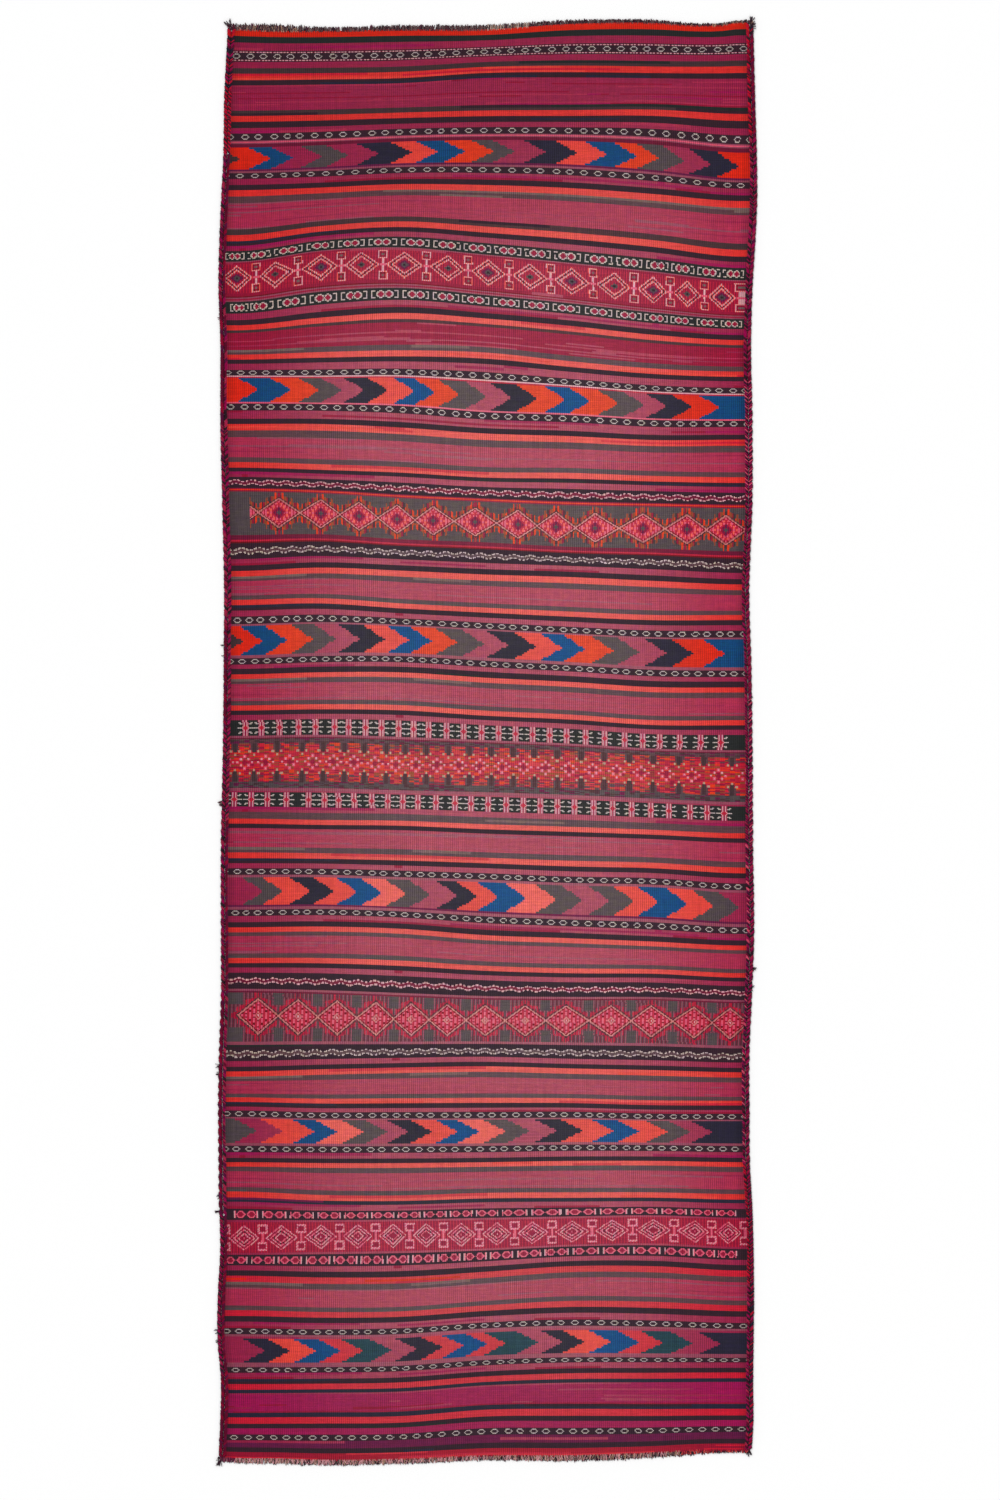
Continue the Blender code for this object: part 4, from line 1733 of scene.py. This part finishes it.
@dataclass
class Selvedge:
    """An edge of two cords of bundled warps, each wrapped in steep turns that lean against the other's."""

    outline: Outline
    shift: Array
    side: Side
    cord_width: float = 0.0098
    thickness: float = 0.0042
    yarn_radius: float = 0.0015
    pitch: float = 0.0030
    slant: float = math.radians(45)
    bead: float = 0.021
    girth_points: int = 10
    yarn_points: int = 4

    def cord(self, middle: float, lean: int) -> tuple[Array, dict[str, Array]]:
        """One of the two cords.

        Args:
            middle: How far its middle lies inside the outer edge.
            lean: Which way its wraps lean: 1 for the outer cord, -1 for the inner one.

        Returns:
            The points of its wraps, and what each carries: turn, swell and yarn.
        """
        side = self.side.value
        ends = []
        for end, name in ((1, "head_down"), (-1, "foot_down")):
            x = self.outline.side_x(side, np.array([end * RUNNER_LENGTH / 2]))[0] - side * middle
            ends.append(RUNNER_LENGTH / 2 - float(self.outline.end_down(name, np.array([x]))[0]))
        count = int((ends[0] - ends[1]) / self.pitch)
        y = np.linspace(ends[0] - 0.004, ends[1] + 0.004, count)
        down = RUNNER_LENGTH / 2 - y
        yarn, beaded, along = self.wraps(down, "outer" if lean > 0 else "inner")
        swell = np.abs(np.sin(math.pi * down / self.bead)) * beaded * (lean > 0)
        x = self.outline.side_x(side, y) - side * (middle - 0.5 * self.cord_width * swell)
        turn = np.arctan2(np.gradient(self.outline.side_x(side, y)), -np.gradient(y))
        places = np.stack([x + self.shift[0], y + self.shift[1], np.full(count, self.thickness / 2)], axis=-1)
        lean_here = np.where(along, 1, lean)
        facts = {"turn": turn + side * lean_here * self.slant, "swell": 1 - beaded * 0.5 * (lean > 0) + swell}
        return places, facts | {"yarn": yarn}

    def wraps(self, down: Array, cord: str) -> tuple[Array, Array, Array]:
        """The yarn and the beading of each wrap of one cord, in short uneven runs, and where both lean one way."""
        rng = np.random.default_rng(40 + self.side.value + len(cord))
        yarn, beaded, along = (np.zeros(len(down)) for _ in range(3))
        beat = turn = 0
        while beat < len(down):
            stretch = next(stretch for stretch in EDGE_STRETCHES[self.side] if down[beat] <= stretch.until)
            group = getattr(stretch, cord)
            run = int(rng.integers(1, stretch.run + 1))
            yarn[beat : beat + run] = group[turn % len(group)]
            beaded[beat : beat + run] = stretch.beaded
            along[beat : beat + run] = not stretch.braided
            turn += int(rng.integers(1, 4)) if rng.random() < 0.25 else 1
            beat += run
        return yarn, beaded, along

    def recipe(self) -> Recipe:
        """The tree that wraps the yarn round the cords."""
        sizes = {"Width": self.cord_width, "Thickness": self.thickness, "Yarn radius": self.yarn_radius}
        tree = Recipe("overcast_edge", sizes | {"Slant": self.slant})
        graph = tree.graph
        width, thickness, radius, slant = (tree.inputs[label] for label in tree.sizes)
        circle = graph.node("GeometryNodeCurvePrimitiveCircle")
        circle.inputs["Resolution"].default_value = self.girth_points
        circle.inputs["Radius"].default_value = 1.0
        spot = tree.parts(graph.node("GeometryNodeInputPosition").outputs[0])
        reach = graph.math("MULTIPLY_ADD", width, 0.5, graph.math("MULTIPLY", radius, -1.0))
        half_width = graph.math("DIVIDE", reach, graph.math("COSINE", slant))
        half_thickness = graph.math("MULTIPLY_ADD", thickness, 0.5, graph.math("MULTIPLY", radius, -1.0))
        flat = tree.vector(
            graph.math("MULTIPLY", spot[0], half_width), 0.0, graph.math("MULTIPLY", spot[1], half_thickness)
        )
        loop = tree.through("GeometryNodeSetPosition", circle.outputs[0], Position=flat)
        yarn = graph.node("GeometryNodeCurvePrimitiveCircle")
        yarn.inputs["Resolution"].default_value = self.yarn_points
        graph.feed(yarn.inputs["Radius"], radius)
        wrap = tree.through("GeometryNodeCurveToMesh", loop, Profile_Curve=yarn.outputs[0])
        yaw = graph.math("ADD", tree.named("turn"), tree.chance(-0.12, 0.12, 3))
        size = graph.math("MULTIPLY", tree.named("swell"), tree.chance(0.93, 1.07, 5))
        scale = tree.vector(size, tree.chance(0.95, 1.2, 7), tree.chance(0.88, 1.0, 11))
        # deep painted shade in the crevices between the wraps and along the edge's rims
        wool = StrandFinish(name="overcast_wool", lowest_painted_shade=0.4, shade=1.0, bloom=0.02, specular=0.09)
        tree.finish(tree.placed(wrap, yaw, scale), wool.material())
        return tree

    def build(self) -> bpy.types.Object:
        """Wraps the edge.

        Returns:
            The edge's object.
        """
        half = self.cord_width / 2
        cords = (self.cord(half - 0.0002, 1), self.cord(3 * half - 0.0012, -1))
        places = np.concatenate([cord[0] for cord in cords])
        facts = {label: np.concatenate([cord[1][label] for cord in cords]) for label in cords[0][1]}
        edge = self.recipe().grow(f"overcast_{self.side.name.lower()}", places, facts)
        card_places(edge.data, self.girth_points * self.yarn_points, self.yarn_points)
        return edge


@dataclass(frozen=True)
class FringeStretch:
    """The yarns of the warp ends up to one place across, in metres from the centre line."""

    until: float
    yarns: tuple[Yarn, ...]


FRINGE_STRETCHES = {
    "head": (
        FringeStretch(-0.58, (Yarn.BLACK, Yarn.BLACK, Yarn.OLIVE_DARK, Yarn.WINE)),
        FringeStretch(-0.42, (Yarn.GREY, Yarn.BEIGE, Yarn.OLIVE, Yarn.DUSTY, Yarn.BLACK)),
        FringeStretch(0.00, (Yarn.DUSTY, Yarn.BLACK, Yarn.GREY, Yarn.DUSTY, Yarn.BLACK)),
        FringeStretch(0.10, (Yarn.CREAM, Yarn.BEIGE, Yarn.BLACK, Yarn.DUSTY)),
        FringeStretch(0.45, (Yarn.DUSTY, Yarn.BLACK, Yarn.GREY, Yarn.OLIVE_DARK)),
        FringeStretch(0.70, (Yarn.BLACK, Yarn.BLACK, Yarn.OLIVE_DARK, Yarn.GREY, Yarn.BEIGE)),
    ),
    "foot": (
        FringeStretch(-0.58, (Yarn.BLACK, Yarn.PURPLE, Yarn.MAUVE)),
        FringeStretch(0.20, (Yarn.PALE_PINK, Yarn.DUSTY, Yarn.BLACK, Yarn.BEIGE, Yarn.PALE_PINK)),
        FringeStretch(0.45, (Yarn.BEIGE, Yarn.DUSTY, Yarn.PALE_PINK, Yarn.BLACK)),
        FringeStretch(0.70, (Yarn.BLACK, Yarn.WINE, Yarn.SALMON, Yarn.CRIMSON)),
    ),
}
# Dark yarns for the lower layer of warp ends, partly painted shadow along the fringe's outer edge
SHADOWING_UNDER_ENDS = (Yarn.BLACK, Yarn.PURPLE, Yarn.OLIVE_DARK)


@dataclass
class LooseEnds:
    """Cut and frayed lengths of yarn, each tapering from its root."""

    outline: Outline
    shift: Array
    radius: float = 0.00085
    fray: float = 0.0018
    rings: int = 5
    sides: int = 4

    def recipe(self) -> Recipe:
        """The tree that lays a tapering, fraying strand on each point."""
        tree = Recipe("cut_warp_ends", {"Radius": self.radius, "Fray": self.fray})
        graph = tree.graph
        line = graph.node("GeometryNodeCurvePrimitiveLine")
        line.inputs["End"].default_value = (0, 1, 0)
        curve = graph.node("GeometryNodeResampleCurve")
        graph.feed(curve.inputs["Curve"], line.outputs[0])
        curve.inputs["Count"].default_value = self.rings
        along = graph.node("GeometryNodeSplineParameter").outputs["Factor"]
        taper = graph.ranged(along, (0.0, 1.0), (1.0, 0.4))
        strand = tree.through("GeometryNodeSetCurveRadius", curve.outputs[0], Radius=taper)
        ply = graph.node("GeometryNodeCurvePrimitiveCircle")
        ply.inputs["Resolution"].default_value = self.sides
        graph.feed(ply.inputs["Radius"], tree.inputs["Radius"])
        body = tree.through("GeometryNodeCurveToMesh", strand, Profile_Curve=ply.outputs[0], Fill_Caps=True)
        thick = tree.chance(0.7, 1.25, 2)
        scale = tree.vector(thick, tree.named("reach"), thick)
        real = tree.placed(body, tree.named("turn"), scale)
        place = graph.node("GeometryNodeInputPosition").outputs[0]
        wander = graph.node("ShaderNodeTexNoise")
        graph.feed(wander.inputs["Vector"], place)
        wander.inputs["Scale"].default_value = 260.0
        pull = graph.node("ShaderNodeVectorMath", operation="SUBTRACT")
        graph.feed(pull.inputs[0], wander.outputs["Color"])
        pull.inputs[1].default_value = (0.5, 0.5, 0.5)
        stray = graph.scaled_colour(graph.stretched(pull.outputs[0], (2.0, 1.0, 0.25)), tree.inputs["Fray"])
        tree.finish(
            tree.through("GeometryNodeSetPosition", real, Offset=stray),
            StrandFinish(name="frayed_warp", shade=0.95).material(),
        )
        return tree

    def lay(self, name: str, x: Array, y: Array, z: Array, facts: dict[str, Array]) -> bpy.types.Object:
        """Lays the strands at their roots and gives the finished piece."""
        places = np.stack([x + self.shift[0], y + self.shift[1], z], axis=-1)
        piece = self.recipe().grow(name, places, facts)
        card_places(piece.data, (self.rings - 1) * self.sides + 2, self.sides)
        return piece


@dataclass
class Fringe(LooseEnds):
    """The cut warp ends past the last pick of one end: dark ones below, which stand partly for the shadow at the
    fringe's edge, and shorter pale ones over them.
    """

    end: int = 1
    pitch: float = 0.0026
    layers: int = 4
    lean: float = 0.36
    tuck: float = 0.003

    def yarns(self, x: Array, under: Array, rng: np.random.Generator) -> Array:
        """The yarn of each warp end, drawn from its stretch, and mostly dark in the layer below as partly painted
        shadow.
        """
        stretches = FRINGE_STRETCHES["head" if self.end > 0 else "foot"]
        picked = []
        for place, low in zip(x, under):
            stretch = next(stretch for stretch in stretches if place <= stretch.until)
            group = SHADOWING_UNDER_ENDS if low and rng.random() < 0.75 else stretch.yarns
            picked.append(int(group[rng.integers(len(group))]))
        return np.array(picked, dtype=float)

    def build(self) -> bpy.types.Object:
        """Lays the warp ends.

        Returns:
            The fringe's object.
        """
        rng = np.random.default_rng(70 + self.end)
        y_end = np.array([self.end * RUNNER_LENGTH / 2])
        left = self.outline.side_x(-1, y_end)[0] + 0.001
        right = self.outline.side_x(1, y_end)[0] - 0.001
        count = int((right - left) / self.pitch) * self.layers
        x = np.linspace(left, right, count) + rng.uniform(-0.4, 0.4, count) * self.pitch
        last, longest = ("head_down", "head_fringe") if self.end > 0 else ("foot_down", "foot_fringe")
        y = RUNNER_LENGTH / 2 - self.outline.end_down(last, x)
        under = rng.random(count) < 0.4
        share = np.where(under, rng.uniform(0.7, 1.0, count), rng.uniform(0.5, 0.9, count))
        locks = 1 + 0.1 * np.sin(x * 2 * math.pi / 0.013) + 0.06 * np.sin(x * 2 * math.pi / 0.031)
        facts = {
            "turn": rng.normal(0, self.lean, count).clip(-1.0, 1.0) + (0 if self.end > 0 else math.pi),
            "reach": self.outline.end_down(longest, x) * share * locks + self.tuck,
            "yarn": self.yarns(x, under, rng),
        }
        z = self.radius + np.where(under, 0.0, 0.0011) + rng.uniform(0.0, 0.0005, count)
        return self.lay("warp_ends_head" if self.end > 0 else "warp_ends_foot", x, y - self.end * self.tuck, z, facts)


@dataclass(frozen=True)
class Tuft:
    """A loose end of the overcasting at one edge; distances in metres, lean from straight out."""

    side: Side
    down: float
    reach: float
    yarn: Yarn
    strands: int = 3
    lean: float = 0.2


TUFTS = (
    Tuft(Side.LEFT, 0.016, 0.012, Yarn.BLACK, strands=9, lean=-0.7),
    Tuft(Side.LEFT, 0.690, 0.006, Yarn.WINE),
    Tuft(Side.LEFT, 1.446, 0.008, Yarn.BLACK),
    Tuft(Side.LEFT, 1.470, 0.006, Yarn.GREY),
    Tuft(Side.LEFT, 1.806, 0.011, Yarn.GREY, strands=9, lean=0.6),
    Tuft(Side.LEFT, 2.415, 0.010, Yarn.BLACK, strands=4),
    Tuft(Side.LEFT, 2.433, 0.008, Yarn.BLACK),
    Tuft(Side.LEFT, 2.717, 0.007, Yarn.NAVY),
    Tuft(Side.LEFT, 2.752, 0.011, Yarn.BLACK, strands=5),
    Tuft(Side.LEFT, 3.028, 0.008, Yarn.NAVY),
    Tuft(Side.LEFT, 3.052, 0.007, Yarn.BLACK),
    Tuft(Side.LEFT, 3.326, 0.012, Yarn.BLACK, strands=10, lean=0.9),
    Tuft(Side.RIGHT, 0.010, 0.010, Yarn.BLACK, strands=9, lean=-1.4),
    Tuft(Side.RIGHT, 0.020, 0.008, Yarn.BLACK, strands=7, lean=-0.5),
    Tuft(Side.RIGHT, 1.557, 0.007, Yarn.NAVY),
    Tuft(Side.RIGHT, 2.192, 0.008, Yarn.BLACK, strands=4),
    Tuft(Side.RIGHT, 2.238, 0.007, Yarn.NAVY),
    Tuft(Side.RIGHT, 3.302, 0.010, Yarn.BLACK, strands=12, lean=1.4),
)


@dataclass
class StrayEnds(LooseEnds):
    """The loose ends that stand out of the two overcast edges."""

    root: float = 0.007

    def build(self) -> bpy.types.Object:
        """Lays the stray ends.

        Returns:
            Their object.
        """
        rng = np.random.default_rng(90)
        rows = []
        for tuft in TUFTS:
            side = tuft.side.value
            for _ in range(tuft.strands):
                y = RUNNER_LENGTH / 2 - tuft.down + rng.uniform(-0.002, 0.002)
                x = float(self.outline.side_x(side, np.array([y]))[0]) - side * self.root
                out = -side * (math.pi / 2 + tuft.lean + rng.normal(0, 0.3))
                rows.append((x, y, out, tuft.reach * rng.uniform(0.6, 1.0) + self.root, float(tuft.yarn)))
        x, y, out, reach, yarn = np.array(rows).T
        z = np.full(len(x), 0.0024)
        return self.lay("stray_ends", x, y, z, {"turn": out, "reach": reach, "yarn": yarn})


class Stage:
    """The plain pale floor, the soft studio light and the camera straight above."""

    camera_height = 9.0
    frame_height_px = 1500
    middle_px = (500.0, 750.0)
    centre_px = 487.25
    head_px = 19.0
    floor_colour = (0.94, 0.94, 0.94, 1.0)

    def floor(self) -> None:
        """Lays a floor under the runner."""
        size = 20.0
        mesh = bpy.data.meshes.new("floor")
        corners = [(-size, -size, 0), (size, -size, 0), (size, size, 0), (-size, size, 0)]
        mesh.from_pydata([(x, y, -0.0006) for x, y, _ in corners], [], [(0, 1, 2, 3)])
        floor = bpy.data.objects.new("floor", mesh)
        bpy.context.scene.collection.objects.link(floor)
        material = bpy.data.materials.new("pale_floor")
        material.use_nodes = True
        surface = material.node_tree.nodes["Principled BSDF"]
        surface.inputs["Base Color"].default_value = self.floor_colour
        surface.inputs["Roughness"].default_value = 0.9
        surface.inputs["Specular IOR Level"].default_value = 0.1
        mesh.materials.append(material)

    def light(self) -> None:
        """Hangs one broad soft light high to the left, in an even pale room."""
        lamp = bpy.data.lights.new("soft_key", "SUN")
        lamp.energy = 1.35
        lamp.angle = math.radians(30)
        key = bpy.data.objects.new("soft_key", lamp)
        key.rotation_euler = (math.radians(-32), math.radians(-28), 0)
        bpy.context.scene.collection.objects.link(key)
        world = bpy.data.worlds.new("pale_room")
        world.use_nodes = True
        world.node_tree.nodes["Background"].inputs["Color"].default_value = (1.0, 1.0, 1.0, 1.0)
        world.node_tree.nodes["Background"].inputs["Strength"].default_value = 0.74
        bpy.context.scene.world = world
        bpy.context.scene.view_settings.view_transform = "Standard"

    def camera(self) -> None:
        """Hangs the camera over the middle of the photo's frame, looking straight down."""
        lens = bpy.data.cameras.new("overhead")
        lens.sensor_fit = "VERTICAL"
        lens.sensor_height = 36.0
        lens.lens = 36.0 * self.camera_height / (self.frame_height_px * STEP)
        lens.clip_end = 60.0
        camera = bpy.data.objects.new("overhead", lens)
        across = (self.middle_px[0] - self.centre_px) * STEP
        up = RUNNER_LENGTH / 2 - (self.middle_px[1] - self.head_px) * STEP
        camera.location = (across, up, self.camera_height)
        bpy.context.scene.collection.objects.link(camera)
        bpy.context.scene.camera = camera


def main() -> None:
    """Builds the runner piece by piece and stands it on its stage."""
    logging.basicConfig(level=logging.INFO, format="%(name)s: %(message)s")
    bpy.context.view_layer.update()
    outline = Outline()
    shift = outline.shift()
    picks = Loom(outline).weave()
    LOG.info("woven in %d picks, moved by %s mm", len(picks), np.round(shift * 1000, 2))
    cloth = WovenCloth(outline, picks, shift).build()
    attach(cloth, "root")
    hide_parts("kilim_cloth")
    LOG.info("cloth: %d faces", len(cloth.data.polygons))
    trims = []
    for side in Side:
        edge = Selvedge(outline, shift, side).build()
        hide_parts(f"selvedge_{side.name.lower()}")
        trims.append(edge)
    strays = StrayEnds(outline, shift).build()
    trims.append(strays)
    for end, node in ((1, "fringe_top"), (-1, "fringe_bottom")):
        fringe = Fringe(outline, shift, end=end).build()
        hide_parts(node)
        trims.append(fringe)
    for trim in trims:
        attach(trim, "root")
        LOG.info("%s: %d faces", trim.name, len(trim.data.polygons))
    stage = Stage()
    stage.floor()
    stage.light()
    stage.camera()


if __name__ == "__main__":
    main()
